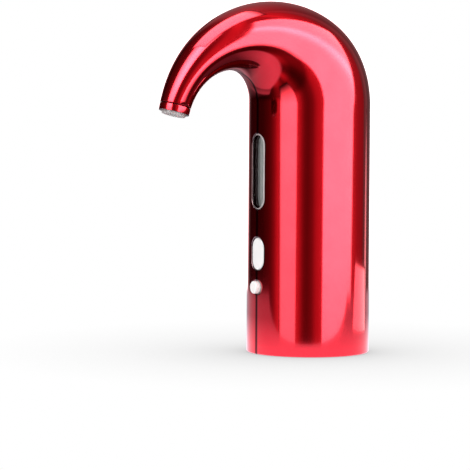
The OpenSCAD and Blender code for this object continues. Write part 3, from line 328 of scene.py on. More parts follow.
def spout_axes(sizes):
    """The spout's end, the direction in which it points, and the direction across it towards the crown."""
    s, c = math.sin(sizes.spout_tilt), math.cos(sizes.spout_tilt)
    return np.array([sizes.spout_reach, sizes.spout_height]), np.array([s, -c]), np.array([c, s])


def hook_sections(sizes, t):
    """Ellipses across the hooked spout: centre, upward direction, half height and half width. Their ends lie
    on two cubic curves, crown and arch, and the half width falls from the body's radius to the spout's by
    0.7 t^1.25 + 0.3 (3 - 2t) t^2."""
    end, axis, across = spout_axes(sizes)
    r, foot = sizes.body_radius, sizes.shoulder
    tip, toe = end + sizes.spout_radius * across, end - sizes.spout_radius * across
    crown = bezier(np.array([-r, foot]), np.array([-r, foot + sizes.crown_back]),
                   tip - sizes.crown_front * axis, tip, t)
    arch = bezier(np.array([r, foot]), np.array([r, foot + sizes.arch_back]),
                  toe - sizes.arch_front * axis, toe, t)
    high = np.linalg.norm(crown - arch, axis=1) / 2
    fall = 0.7 * t ** 1.25 + 0.3 * (3 - 2 * t) * t ** 2
    wide = r + (sizes.spout_radius - r) * fall
    return (crown + arch) / 2, (crown - arch) / (2 * high[:, None]), high, wide


def front_openings(sizes):
    """Upright round-ended openings on the front seam, for the window, the pour key and the power key:
    (centre height, half of the straight length, end radius)."""
    window_r = LENS_HIGH.x - sizes.lens_flange
    pour_r = POUR_HIGH.x - sizes.key_flange
    power_r = POWER_HIGH.x - sizes.key_flange
    window_half = (LENS_HIGH.z - LENS_LOW.z) / 2 - sizes.lens_flange
    pour_half = (POUR_HIGH.z - POUR_LOW.z) / 2 - sizes.key_flange
    return [((LENS_LOW.z + LENS_HIGH.z) / 2, window_half - window_r, window_r),
            ((POUR_LOW.z + POUR_HIGH.z) / 2, pour_half - pour_r, pour_r),
            ((POWER_LOW.z + POWER_HIGH.z) / 2, 0.0, power_r)]


def socket_opening(sizes):
    """Level round-ended opening on the back seam: (centre height, half of the straight length, radius)."""
    radius = (SOCKET_HIGH.z - SOCKET_LOW.z) / 2 + sizes.socket_gap
    return (SOCKET_LOW.z + SOCKET_HIGH.z) / 2, SOCKET_HIGH.x + sizes.socket_gap - radius, radius


def round_over(distance, radius):
    """Depth of a quarter-round edge at a distance from its foot."""
    rest = np.clip(radius - distance, 0, radius)
    return radius - np.sqrt(radius ** 2 - rest ** 2)


def front_edge(sizes, z, grow):
    """Half width of the front openings, grown outwards, at each height; 0 where there is none."""
    widths = [np.sqrt(np.clip((r + grow) ** 2 - np.clip(np.abs(z - mid) - half, 0, None) ** 2, 0, None))
              for mid, half, r in front_openings(sizes)]
    return np.max(widths, axis=0)


def front_depth(sizes, x, z):
    """Depth of the rounded rims of the front openings at points (x, z)."""
    depths = [round_over(np.hypot(x, np.clip(np.abs(z - mid) - half, 0, None)) - r, sizes.rim_round)
              for mid, half, r in front_openings(sizes)]
    return np.max(depths, axis=0)


def back_edge(sizes, z, grow):
    """Half width of the socket's opening, grown outwards, at each height; 0 where there is none."""
    mid, half, r = socket_opening(sizes)
    inside = (r + grow) ** 2 - (z - mid) ** 2
    return np.where(inside > 0, half + np.sqrt(np.clip(inside, 0, None)), 0)


def back_depth(sizes, x, z):
    """Depth of the rounded rim of the socket's opening at points (x, z)."""
    mid, half, r = socket_opening(sizes)
    return round_over(np.hypot(np.clip(x - half, 0, None), z - mid) - r, sizes.rim_round)


def body_heights(sizes):
    """Heights of the straight body's rows, close together at the ends of each opening."""
    fan = np.cos(np.radians([0, 4, 8, 12, 18, 24, 31, 38, 46, 54, 63, 72, 81, 90]))
    rim = sizes.rim_round
    heights = [np.linspace(sizes.base_round, sizes.shoulder, 28)]
    socket_mid, _, socket_radius = socket_opening(sizes)
    for mid, half, r in front_openings(sizes) + [(socket_mid, 0.0, socket_radius)]:
        for reach in (r + rim, r):
            heights += [mid - half - reach * fan, mid + half + reach * fan]
        heights.append(mid + (half + r + rim + 2 * CLOSE) * np.array([-1, 1]))
    heights = np.unique(np.concatenate(heights))
    return heights[np.concatenate([[True], np.diff(heights) > CLOSE])]


def shell_half(sizes, side):
    """One half shell as a loft of closed C-shaped loops: an outer arc from the back seam to the front seam,
    both edges rounded, and the inner arc back. A loop's point is centre + up (high - d) cos a + x, with
    x = (wide - d) sin a, where d is its depth below the outer surface. The shade mask is 1 in the seams, on
    the feet of the openings' edges and inside, where the lacquer gets a painted near-black shade; the rim
    mask is 1 on the rounded edges of the openings, where a pale colour paints a highlight."""
    turn_in = np.linspace(0, math.pi / 2, 7)
    z = np.concatenate([sizes.base_round * (1 - np.cos(turn_in)), body_heights(sizes)[1:]])
    t = np.linspace(0, HOOK_END, HOOK_ROWS)[1:]
    end, axis, across = spout_axes(sizes)
    last = sizes.rim_round * (1 - np.sin(turn_in))
    centre, up, high, wide = hook_sections(sizes, t)
    centre = np.concatenate([np.stack([0 * z, z], -1), centre, end - last[:, None] * axis])
    up = np.concatenate([np.tile([-1.0, 0.0], (len(z), 1)), up, np.tile(across, (len(last), 1))])
    body, spout = np.full(len(z), sizes.body_radius), np.full(len(last), sizes.spout_radius)
    high = np.concatenate([body, high, spout])
    wide = np.concatenate([body, wide, spout])
    depth = np.zeros(len(high))
    depth[:len(turn_in)] = sizes.base_round * (1 - np.sin(turn_in))
    depth[-len(turn_in):] = round_over(last, sizes.rim_round)
    above_all = 10.0
    level = np.full(len(high), above_all)
    level[:len(z)] = z
    easing = 1 - np.cos(np.radians([0, 22.5, 45, 67.5, 90]))
    columns = np.linspace(0, 1, SHELL_COLUMNS)[1:-1]

    def edges(edge, rim):
        """Points of a rounded edge, from its foot to the surface: x and depth, one row for each loop."""
        foot = np.maximum(sizes.seam_half, edge(sizes, level, 0.0))
        top = np.maximum(sizes.seam_half + sizes.seam_round, edge(sizes, level, sizes.rim_round))
        x = foot[:, None] + (top - foot)[:, None] * easing
        seam = round_over(x - sizes.seam_half, sizes.seam_round)
        return x, np.maximum(rim(sizes, x, level[:, None]), seam)

    def arc(x_back, x_front, w):
        """Angles between two edges: even spacing, bent only near an edge that an opening pushes aside."""
        back, front = np.arcsin(x_back / w), np.arcsin(x_front / w)
        return math.pi * columns + back[:, None] * (1 - columns) ** 6 - front[:, None] * columns ** 6

    def place(angle, d):
        """Points of the loops at an angle and a depth."""
        reach = (high[:, None] - d) * np.cos(angle)
        plane = centre[:, None] + up[:, None] * reach[..., None]
        return np.stack([side * (wide[:, None] - d) * np.sin(angle), -plane[..., 0], plane[..., 1]], -1)

    def sweep(back, front, back_d, front_d, d, w):
        """Points from the back edge over the surface to the front edge, each with its depth."""
        back_angle = np.arcsin(back / (wide[:, None] - back_d))
        front_angle = math.pi - np.arcsin(front / (wide[:, None] - front_d))
        middle = arc(back[:, -1], front[:, -1], w)
        front_points = place(front_angle, front_d)[:, ::-1]
        return np.concatenate([place(back_angle, back_d), place(middle, d), front_points], 1)

    back_x, back_d = edges(back_edge, back_depth)
    front_x, front_d = edges(front_edge, front_depth)
    surface = depth[:, None]
    outer = sweep(back_x, front_x, back_d + surface, front_d + surface, surface, wide)
    step = CLOSE * np.arange(len(easing))
    wall = sizes.wall
    inner = sweep(back_x[:, :1] + step, front_x[:, :1] + step, wall, wall, wall, wide - wall)
    loops = np.concatenate([outer, inner[:, ::-1]], 1)
    rows, count = loops.shape[:2]
    k = np.arange(count // 2 - 1)
    cap = np.stack([k, k + 1, count - 2 - k, count - 1 - k], -1)
    quads = np.concatenate([grid_quads(rows, count), cap, cap + (rows - 1) * count])
    outside = count // 2
    # Painted near-black shade in the seams, on the feet of the openings' edges and inside
    joint = np.zeros((rows, count))
    # Painted highlight: pale on the rounded rims of the openings
    rim = np.zeros((rows, count))
    joint[:, outside:] = 1
    bend = len(easing)
    for x, foot, edge in ((back_x, slice(0, 2), slice(0, bend)),
                          (front_x, slice(outside - 2, outside), slice(outside - bend, outside))):
        opened = x[:, -1] > sizes.seam_half + sizes.seam_round + CLOSE / 2
        joint[:, edge] = np.where(opened, 0, 1)[:, None]
        joint[:, foot] = 1
        rim[:, edge] = np.where(opened, 1, 0)[:, None]
    return (loops.reshape(-1, 3), quads), {"joint": joint, "rim": rim}


# Window, keys and nozzle

def capsule_solid(mid, half, rings, sides=14, arcs=24):
    """A round-ended solid on the front seam. Each ring is (reach, bend, f): the outline lies reach away from
    the middle line, and its points lie at -y = sqrt(bend^2 - x^2), or at -y = f where bend is 0."""
    a = np.linspace(0, math.pi, arcs)
    down = np.linspace(half, -half, sides + 2)[1:-1]
    dir_x = np.concatenate([np.cos(a), -np.ones(sides), np.cos(a + math.pi), np.ones(sides)])
    dir_z = np.concatenate([np.sin(a), np.zeros(sides), np.sin(a + math.pi), np.zeros(sides)])
    base = np.concatenate([np.full(arcs, half), down, np.full(arcs, -half), down[::-1]])
    reach, bend, f = np.asarray(rings, float).T[:, :, None]
    x = reach * dir_x
    y = -np.where(bend > 0, np.sqrt(np.clip(bend ** 2 - x ** 2, 0, None)), f)
    z = mid + base + reach * dir_z
    return np.stack([x, y, z], -1).reshape(-1, 3), grid_quads(len(rings), len(base))


def face_rings(reach, bend, radius):
    """Rings of a front face with a quarter-round edge, from its middle line outwards."""
    flat = [(s * (reach - radius), bend, 0) for s in np.linspace(0, 1, FACE_STEPS)]
    return flat + [(reach - radius + radius * math.sin(a), bend - radius * (1 - math.cos(a)), 0)
                   for a in np.radians([18, 36, 54, 72, 90])]


def lens_parts(sizes):
    """The window lens: a curved face with a rounded edge, a barrel in the opening and a flange behind the
    shell. The rim mask is 1 on the rounded edge."""
    mid, half, r = front_openings(sizes)[0]
    reach = r - LENS_FIT
    seat = sizes.body_radius - sizes.wall - LENS_FIT
    back = seat - sizes.lens_flange_depth
    rim = reach + sizes.lens_flange
    face = face_rings(reach, sizes.body_radius - sizes.lens_recess, sizes.lens_round)
    barrel = [(reach, seat, 0), (rim, seat, 0), (rim, back, 0)]
    rings = face + barrel + [(s * rim, back, 0) for s in np.linspace(0.9, 0, FACE_STEPS)]
    points, quads = capsule_solid(mid, half, rings)
    edge = np.zeros((len(rings), len(points) // len(rings)))
    edge[FACE_STEPS:len(face) + 1] = 1
    return [(points, quads)], {"rim": edge}


def pour_parts(sizes):
    """The oval key: a curved face below the shell's surface, a flat flange and a stub for its switch."""
    mid, half, r = front_openings(sizes)[1]
    reach = r - sizes.key_gap
    rim = r + sizes.key_flange
    front = key_flange_front(sizes)
    back = front - KEY_FLANGE_DEPTH
    rings = face_rings(reach, sizes.body_radius - sizes.pour_recess, sizes.key_round)
    rings += [(reach, 0, front), (rim, 0, front), (rim, 0, back), (0, 0, back)]
    return [capsule_solid(mid, half, rings), key_stub(mid, back)]


def key_flange_front(sizes):
    """Forward distance of the keys' flanges, just inside the shell where the widest flange meets it."""
    return math.sqrt((sizes.body_radius - sizes.wall) ** 2 - POUR_HIGH.x ** 2) - KEY_FIT


def key_stub(mid, back):
    """The stub behind a key that works its switch."""
    outline = [(0, 0), (0, 1.5), (-0.5, 1.5), (-0.6, 1.4), (-0.6, 0)]
    return turned(outline, (0, -back, mid), FRONT, 40)


def power_parts(sizes):
    """The round key: a domed face that stands out of the shell, f = top - dome + sqrt(dome^2 - r^2)."""
    mid, _, opening = front_openings(sizes)[2]
    reach, top = opening - sizes.key_gap, -POWER_LOW.y
    dome, edge = sizes.power_dome, sizes.key_round
    front = key_flange_front(sizes)
    r = np.linspace(0, reach - edge, 12)
    face = np.stack([top - dome + np.sqrt(dome ** 2 - r ** 2), r], -1)
    a = np.radians([15, 30, 45, 60, 75, 90])
    corner = np.stack([face[-1, 0] - edge * (1 - np.cos(a)), reach - edge + edge * np.sin(a)], -1)
    rim = opening + sizes.key_flange
    back = front - KEY_FLANGE_DEPTH
    rest = np.array([(front, reach), (front, rim), (back, rim), (back, 0)])
    outline = np.concatenate([face, corner, rest])
    return [revolve(outline, (0, 0, mid), FRONT, 80, closed=False), key_stub(mid, back)]


def nozzle_frame(sizes):
    """Origin and direction of the nozzle in space."""
    end, axis, _ = spout_axes(sizes)
    return (0, -end[0], end[1]), (0, -axis[0], axis[1])


def ring_parts(sizes):
    """The lacquered ring at the spout's end: a spigot, a fine groove, a slightly tapered band and a recess.
    The shade mask, for a painted near-black shade in the spigot, groove and recess, is 1 below the band's
    surface and above its lower edge; the rim mask, for a painted highlight, is 1 on that edge."""
    corners = [(-7, 4.45), (-7, 5.9), (0.05, 5.9), (0.05, 7.6), (0.6, 7.6), (0.6, 8.5), (4.2, 8.3),
               (4.2, 6.8), (2.0, 6.8), (2.0, 4.45)]
    radii = [0, 0.2, 0, 0, 0, 0.1, 0.35, 0.2, 0, 0]
    origin, axis = nozzle_frame(sizes)
    points, quads = turned(corners, origin, axis, 128, radii)
    from_end, axis = points - np.array(origin), unit(np.array(axis))
    along = from_end @ axis
    away = np.linalg.norm(np.cross(from_end, axis), axis=1)
    # Painted shade in the hollows below the band, and a painted highlight on its lower edge
    below_band, lower_edge, edge_start = 7.9 * MM, 4 * MM, 4.05 * MM
    masks = {"joint": (away < below_band) & (along < lower_edge), "rim": along > edge_start}
    return [(points, quads)], masks


def insert_parts(sizes):
    """The clear insert: a lip below the ring, a barrel through it and a nipple for the hose."""
    corners = [(-15, 1.44), (-15, 2.6), (-10, 2.6), (-10, 4.4), (2.0, 4.4), (2.0, 6.6), (5.6, 6.6),
               (5.6, 3.6), (-1, 3.6), (-8, 1.44)]
    radii = [0.2, 0.2, 0, 0.4, 0, 0.2, 0.8, 0.8, 0, 0]
    return [turned(corners, *nozzle_frame(sizes), 128, radii)]


# Hoses, seals and dip tube

def smooth_path(points, steps):
    """A Catmull-Rom curve through points: between b and c, with neighbours a and d, it is
    (2b + (c - a)t + (2a - 5b + 4c - d)t^2 + (3b - a - 3c + d)t^3) / 2."""
    p = np.asarray(points, float)
    p = np.concatenate([2 * p[:1] - p[1:2], p, 2 * p[-1:] - p[-2:-1]])
    a, b, c, d = (p[i:len(p) - 3 + i, None] for i in range(4))
    t = np.linspace(0, 1, steps, endpoint=False)[None, :, None]
    square, cube = 2 * a - 5 * b + 4 * c - d, 3 * b - a - 3 * c + d
    curve = 0.5 * (2 * b + (c - a) * t + square * t ** 2 + cube * t ** 3)
    return np.concatenate([curve.reshape(-1, 3), p[-2:-1]])


def tube_along(path, outer, inner, sides=40):
    """A tube with rounded ends along a path. Its rings are centre + r (cos a n + sin a b): the normal n is
    carried from ring to ring without twist, and r runs along the outside, over the end and back inside."""
    along = np.gradient(path, axis=0)
    along /= np.linalg.norm(along, axis=1)[:, None]
    normal = np.empty_like(along)
    carried = np.cross(along[0], ANY_SIDE)
    for k, forward in enumerate(along):
        carried = carried - (carried @ forward) * forward
        carried = carried / np.linalg.norm(carried)
        normal[k] = carried
    sideways = np.cross(along, normal)
    last = len(path) - 1
    lip = (outer - inner) * END_ROUND
    index = np.concatenate([[0, 0], np.arange(last + 1), [last, last], np.arange(last, -1, -1), [0]])
    radius = np.concatenate([[inner + lip, outer - lip], np.full(last + 1, outer),
                             [outer - lip, inner + lip], np.full(last + 1, inner), [inner + lip]])
    shift = np.zeros(len(index))
    shift[[0, 1, -1]] = -lip
    shift[[last + 3, last + 4]] = lip
    a = np.linspace(0, 2 * math.pi, sides, endpoint=False)
    cos, sin = np.cos(a)[:, None], np.sin(a)[:, None]
    round_way = cos * normal[index][:, None] + sin * sideways[index][:, None]
    centre = path[index] + shift[:, None] * along[index]
    points = centre[:, None] + radius[:, None, None] * round_way
    return points.reshape(-1, 3), grid_quads(len(index), sides)


def spout_hose_parts(sizes):
    """The hose from the mixing chamber to the nozzle: straight on both nipples, one cubic curve between."""
    end, axis, _ = spout_axes(sizes)
    start, rise = np.array([25.35, 133.1]) * MM, np.array([25.35, 140.2]) * MM
    stop, fall = end - 10.4 * MM * axis, end - 15.5 * MM * axis
    handle = 26 * MM
    t = np.linspace(0, 1, 60)
    curve = bezier(rise, rise + (0, handle), fall - handle * axis, fall, t)
    flat = np.concatenate([np.linspace(start, rise, 8)[:-1], curve, np.linspace(fall, stop, 6)[1:]])
    path = np.stack([0 * flat[:, 0], -flat[:, 0], flat[:, 1]], -1)
    return [tube_along(path, *SPOUT_HOSE)]


def aeration_hose_parts():
    """The hose from the pump's side nipple, round the post and behind the board, to the chamber's cap."""
    route = np.array([(10.75, 11.35, 59.3), (15.0, 8.9, 59.3), (18.25, 4.5, 59.3), (18.15, -2.0, 59.3),
                      (15.55, -8.5, 59.3), (9.75, -14.3, 59.3), (5.0, -17.5, 60.0), (1.3, -18.9, 62.3),
                      (0.0, -19.05, 65.8), (0.0, -19.05, 71.9)]) * MM
    return [tube_along(smooth_path(route, 9), *AIR_HOSE)]


def air_hose_parts():
    """Two short hoses on the air line, below and above the check valve."""
    y = PUMP_AXIS[1]
    return [tube_along(np.linspace((0, y, low * MM), (0, y, high * MM), 6), *AIR_HOSE)
            for low, high in ((35.9, 40.4), (45.6, 55.4))]


def stopper_parts():
    """The stopper's flange and plug, with three soft sealing ribs, round the dip tube's sleeve."""
    ribs = [(z + dz, r) for z in (15.2, 19.6, 24.0) for dz, r in ((-1.3, 8.5), (0.2, 9.75), (1.2, 8.5))]
    flange = [(26.2, 8.5), (26.2, 16.15), (29, 16.15), (29, 4.3)]
    radii = [0.3, 0.8, 0.5, *[0.5, 0.45, 0.5] * 3, 0.4, 0.7, 0.4, 0.3]
    return [turned([(11, 4.3), (11, 7.7), (13, 8.5), *ribs, *flange], BASE, UP, 128, radii)]


def foot_parts():
    """The soft foot at the dip tube's end: a rounded cone and a spigot."""
    corners = [(9.7, 1.15), (9.7, 3.85), (10.9, 4.25), (10.9, 1.7), (14.9, 1.7), (14.9, 1.15)]
    return [turned(corners, BASE, UP, 72, [0.2, 0.35, 0.2, 0, 0.15, 0.1])]


def tube_section_parts(outer, bore, lip, collar, top):
    """One section of the telescopic dip tube, with a lip at its lower end and a collar at its upper end.
    Corners that fall together, where a section has no lip or collar, count once."""
    low, guide = 11, 4
    corners = [(low, lip), (low, outer), (top - guide, outer), (top - guide, collar), (top, collar),
               (top, bore), (low + guide, bore), (low + guide, lip)]
    radii = [0.06, 0.12, 0, 0, 0.1, 0.06, 0, 0]
    keep = [k for k in range(len(corners)) if corners[k] != corners[k - 1]]
    return [turned([corners[k] for k in keep], BASE, UP, 96, [radii[k] for k in keep])]


def valve_parts():
    """The umbrella-shaped outlet valve: a domed disc, a stem and a barb."""
    outline = [(61.9, 0), (61.92, 2.5), (62.1, 5.0), (62.4, 6.3), (62.65, 6.72), (62.8, 6.7), (62.8, 0.9),
               (65.8, 0.9), (65.8, 1.28), (66.1, 1.25), (67.0, 0.75), (67.0, 0)]
    return [turned(outline, PUMP_AXIS, UP, 72)]


def round_pump(radius, first, outline):
    """Three solids of revolution round the pump's axis, 120 degrees apart from a first angle."""
    turns = np.radians(first + np.array([0, 120, 240]))
    places = [(radius * math.cos(a), PUMP_AXIS[1] + radius * math.sin(a), 0) for a in turns]
    return [turned(outline, place, UP, 48) for place in places]


def diaphragm_parts():
    """The pump's diaphragm: a disc, three cups with stems, the cups' hollows and the screw holes. The cups
    end below the rocker's lowest position and the stems' barbs lie above its highest, so its arms move."""
    disc = [(65.8, 1.7), (65.8, 12), (67.2, 12), (67.2, 1.7)]
    shoulder = np.radians(np.arange(0, 91, 15))
    side = np.stack([np.linspace(66.5, 71.17, 6), np.full(6, 2.9)], -1)
    top = np.stack([71.17 + 0.8 * np.sin(shoulder), 2.1 + 0.8 * np.cos(shoulder)], -1)
    stem = [(71.97, 0.9), (76.35, 0.9), (76.35, 1.55), (76.5, 1.5), (77.0, 0.8), (77.0, 0)]
    cup = np.concatenate([[(66.5, 0)], side, top[1:], stem])
    hollow = [(65, 0), (65, 2.0), (70.6, 2.0), (70.95, 1.85), (71.07, 1.5), (71.07, 0)]
    hole = [(65, 0), (65, 0.85), (68, 0.85), (68, 0)]
    base = turned(disc, PUMP_AXIS, UP, 96, [0.2, 0.4, 0.4, 0.2])
    cup_circle, screw_circle = 5.9 * MM, 10.2 * MM
    cuts = round_pump(cup_circle, 0, hollow) + round_pump(screw_circle, 60, hole)
    return [base], round_pump(cup_circle, 0, cup), cuts


def combine(piece, parts, operation):
    """Joins solids to a piece, or cuts them out of it."""
    tool = add_object("tool", build_mesh("tool", parts))
    change = piece.modifiers.new("change", "BOOLEAN")
    change.operation = operation
    change.solver = "EXACT"
    change.object = tool
    shaped = piece.evaluated_get(bpy.context.evaluated_depsgraph_get())
    piece.data = bpy.data.meshes.new_from_object(shaped)
    piece.modifiers.clear()
    bpy.data.objects.remove(tool)
    piece.data.set_sharp_from_angle(angle=SHARP_EDGE)


# Shader node groups

def add_node(tree, kind, inputs=None, **settings):
    """A shader node with its settings, and with inputs that are values or sockets to link from."""
    made = tree.nodes.new("ShaderNode" + kind)
    for key, value in settings.items():
        setattr(made, key, value)
    for key, value in (inputs or {}).items():
        if isinstance(value, bpy.types.NodeSocket):
            tree.links.new(value, made.inputs[key])
        else:
            made.inputs[key].default_value = value
    return made


def worked_out(tree, operation, *values):
    """Result of a Math node."""
    return add_node(tree, "Math", dict(enumerate(values)), operation=operation).outputs[0]


def mapped(tree, value, first, last, low=0.0, high=1.0, kind="LINEAR"):
    """A value carried from first..last to low..high and held at both ends."""
    inputs = {"Value": value, "From Min": first, "From Max": last, "To Min": low, "To Max": high}
    return add_node(tree, "MapRange", inputs, interpolation_type=kind).outputs["Result"]


def blended(tree, factor, first, second, kind="RGBA"):
    """A blend from a first to a second colour or value."""
    inputs = {"Factor": factor, "A": first, "B": second}
    return add_node(tree, "Mix", inputs, data_type=kind).outputs["Result"]


def mixed(tree, factor, first, second):
    """A mix of two shaders."""
    return add_node(tree, "MixShader", {0: factor, 1: first, 2: second}).outputs[0]


GROUP_INPUTS = {"Colour": "NodeSocketColor", "Shade": "NodeSocketColor", "Scale": "NodeSocketFloat",
                "Smoothness": "NodeSocketFloat", "Spread": "NodeSocketFloat"}
GROUP_OUTPUTS = {"Colour": "NodeSocketColor", "Roughness": "NodeSocketFloat", "Height": "NodeSocketFloat"}

# Surface effects: stretch of the noise along the axes, scale of the colour's noise as a share of the fine
# noise's, and detail of the fine noise. Plastic and rubber have an even grain, lacquer a slow ripple, drawn
# metal long lines along Z, and windings and laminations level lines.
SURFACES = {"moulded_grain": ((1, 1, 1), 0.06, 4.0),
            "lacquer_ripple": ((1, 1, 1), 0.35, 1.0),
            "drawn_metal": ((1, 1, 0.015), 0.3, 5.0),
            "wound_wire": ((0.05, 0.05, 1), 0.4, 2.0)}
COARSE_DETAIL = 3.0
NOISE_ROUGHNESS = 0.55


def object_noise(tree, stretch, scale, detail):
    """Noise on Object coordinates, stretched along the axes."""
    place = add_node(tree, "TexCoord").outputs["Object"]
    pulled = add_node(tree, "Mapping", {"Vector": place, "Scale": stretch}).outputs["Vector"]
    inputs = {"Vector": pulled, "Scale": scale, "Detail": detail, "Roughness": NOISE_ROUGHNESS}
    return add_node(tree, "TexNoise", inputs).outputs["Fac"]


def surface_group(name):
    """A group that drifts between two colours, spreads the roughness and gives a fine height. Colour follows
    coarse noise, roughness and height follow fine noise, both on Object coordinates."""
    tree = bpy.data.node_groups.get(name)
    if tree:
        return tree
    tree = bpy.data.node_groups.new(name, "ShaderNodeTree")
    for way, sockets in (("INPUT", GROUP_INPUTS), ("OUTPUT", GROUP_OUTPUTS)):
        for label, kind in sockets.items():
            tree.interface.new_socket(label, in_out=way, socket_type=kind)
    given = tree.nodes.new("NodeGroupInput").outputs
    result = tree.nodes.new("NodeGroupOutput").inputs
    stretch, coarse, detail = SURFACES[name]
    fine = object_noise(tree, stretch, given["Scale"], detail)
    wide = object_noise(tree, stretch, worked_out(tree, "MULTIPLY", given["Scale"], coarse), COARSE_DETAIL)
    tint = blended(tree, mapped(tree, wide, 0.35, 0.65), given["Colour"], given["Shade"])
    swing = worked_out(tree, "SUBTRACT", fine, 0.5)
    rough = worked_out(tree, "MULTIPLY_ADD", swing, given["Spread"], given["Smoothness"])
    for label, value in (("Colour", tint), ("Roughness", rough), ("Height", fine)):
        tree.links.new(value, result[label])
    return tree


# Finishes

# Surface effect, colour, second shade as a factor of it, scale of the noise, roughness, its spread, depth of
# the bump in metres, and constants of the shader. The lacquer's second shade has a colour of its own.
FINISHES = {
    "red_lacquer": ("lacquer_ripple", "lacquer", 1.0, 260.0, 0.10, 0.03, 0.2e-6,
                    {"Metallic": 1.0, "Coat Roughness": 0.02, "Coat IOR": 1.3}),
    "white_plastic": ("moulded_grain", "white", 0.96, 2600.0, 0.32, 0.10, 4e-6,
                      {"Coat Weight": 0.15, "Coat Roughness": 0.1}),
    "clear_plastic": ("lacquer_ripple", "clear", 0.97, 300.0, 0.04, 0.03, 0.4e-6,
                      {"Transmission Weight": 1.0, "IOR": 1.49}),
    # The window's matt edge: its pale pink is a painted highlight
    "frosted_plastic": ("moulded_grain", "frost", 0.9, 3000.0, 0.35, 0.1, 3e-6, {}),
    "cloudy_plastic": ("lacquer_ripple", "cloudy", 0.9, 300.0, 0.30, 0.06, 1e-6,
                       {"Transmission Weight": 0.4, "IOR": 1.45}),
    "smoky_plastic": ("lacquer_ripple", "smoke", 0.8, 300.0, 0.10, 0.06, 1e-6,
                      {"Transmission Weight": 0.3, "IOR": 1.49}),
    "dark_plastic": ("moulded_grain", "dark", 0.75, 2200.0, 0.48, 0.16, 12e-6, {}),
    "black_silicone": ("moulded_grain", "rubber", 1.9, 1500.0, 0.62, 0.14, 10e-6, {}),
    "milky_silicone": ("moulded_grain", "milky", 0.88, 900.0, 0.42, 0.12, 5e-6,
                       {"Transmission Weight": 0.25, "IOR": 1.41}),
    "drawn_steel": ("drawn_metal", "steel", 0.86, 4200.0, 0.42, 0.12, 1.5e-6, {"Metallic": 1.0}),
    "sintered_bronze": ("moulded_grain", "brass", 0.7, 3500.0, 0.42, 0.22, 10e-6, {"Metallic": 1.0}),
    "ferrite_grey": ("moulded_grain", "ferrite", 0.6, 3000.0, 0.55, 0.2, 8e-6, {"Metallic": 0.3}),
    "copper_winding": ("wound_wire", "copper", 0.45, 3800.0, 0.30, 0.2, 40e-6,
                       {"Metallic": 1.0, "Coat Weight": 0.5}),
    "battery_sleeve": ("lacquer_ripple", "sleeve", 0.8, 400.0, 0.30, 0.1, 6e-6, {"Coat Weight": 0.4}),
    "green_board": ("wound_wire", "board", 1.5, 1400.0, 0.35, 0.12, 14e-6, {"Coat Weight": 0.3}),
}

# Colour of the painted near-black shade in the seams and hollows, and weight of the clear coat over the
# lacquer
JOINT_SHADE = (0.012, 0.001, 0.002, 1)
COAT = 0.6


def finish(name):
    """A material from the table: a Principled shader whose colour, roughness and bump come from a surface
    group. Constants are set on the shader's own sockets."""
    material = bpy.data.materials.get(name + "_finish")
    if material:
        return material
    surface, tint, deep, scale, smooth, spread, bump, constants = FINISHES[name]
    shade = getattr(bpy.context.scene.aerator_finish, tint)
    material = bpy.data.materials.new(name + "_finish")
    material.use_nodes = True
    material.diffuse_color = (*shade, 1)
    tree = material.node_tree
    shader = tree.nodes["Principled BSDF"].inputs
    values = {"Colour": (*shade, 1), "Shade": (*(c * deep for c in shade), 1), "Scale": scale,
              "Smoothness": smooth, "Spread": spread}
    effect = add_node(tree, "Group", values, node_tree=surface_group(surface)).outputs
    relief = add_node(tree, "Bump", {"Strength": 1.0, "Distance": bump, "Height": effect["Height"]})
    tree.links.new(effect["Colour"], shader["Base Color"])
    tree.links.new(effect["Roughness"], shader["Roughness"])
    tree.links.new(relief.outputs["Normal"], shader["Normal"])
    for label, value in constants.items():
        shader[label].default_value = value
    return material


def red_lacquer():
    """Red lacquer over bright metal under a clear coat, with a pale painted highlight where the rim mask is
    1, and a painted near-black shade, bare of coat, in the seams and hollows where the shade mask is 1."""
    found = bpy.data.materials.get("red_lacquer_finish")
    if found:
        return found
    material = finish("red_lacquer")
    colours = bpy.context.scene.aerator_finish
    tree = material.node_tree
    shader, effect = tree.nodes["Principled BSDF"].inputs, tree.nodes["Group"]
    effect.inputs["Shade"].default_value = (*colours.lacquer_deep, 1)
    # Mask of the painted near-black shade in the seams and hollows
    joint = add_node(tree, "Attribute", attribute_name="joint").outputs["Fac"]
    rim = add_node(tree, "Attribute", attribute_name="rim").outputs["Fac"]
    # Painted highlight: the rims blend to a pale colour
    rim_highlight = blended(tree, rim, effect.outputs["Colour"], (*colours.rim_highlight, 1))
    # Painted shade: near-black, with the coat taken off
    tree.links.new(blended(tree, joint, rim_highlight, JOINT_SHADE), shader["Base Color"])
    tree.links.new(worked_out(tree, "MULTIPLY_ADD", joint, -COAT, COAT), shader["Coat Weight"])
    return material


def paint_nodes(name, *nodes):
    """Gives CAD nodes a finish."""
    for node in nodes:
        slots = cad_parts[node].data.materials
        slots.clear()
        slots.append(finish(name))


# Operators

class AERATOR_OT_shells(bpy.types.Operator):
    """Makes the two lacquered half shells"""

    bl_idname = "aerator.shells"
    bl_label = "Half shells"

    def execute(self, context):
        sizes = context.scene.aerator_sizes
        for name, side in (("right", 1), ("left", -1)):
            part, masks = shell_half(sizes, side)
            add_piece(name + "_half_shell", [part], red_lacquer(), "housing", name + "_shell",
                      masks)
        return {"FINISHED"}


class AERATOR_OT_nozzle(bpy.types.Operator):
    """Makes the nozzle's ring and its clear insert"""

    bl_idname = "aerator.nozzle"
    bl_label = "Nozzle"

    def execute(self, context):
        sizes = context.scene.aerator_sizes
        parts, masks = ring_parts(sizes)
        add_piece("spout_ring", parts, red_lacquer(), "housing", "nozzle_ring", masks)
        add_piece("clear_insert", insert_parts(sizes), finish("cloudy_plastic"), "housing",
                  "nozzle_insert")
        return {"FINISHED"}


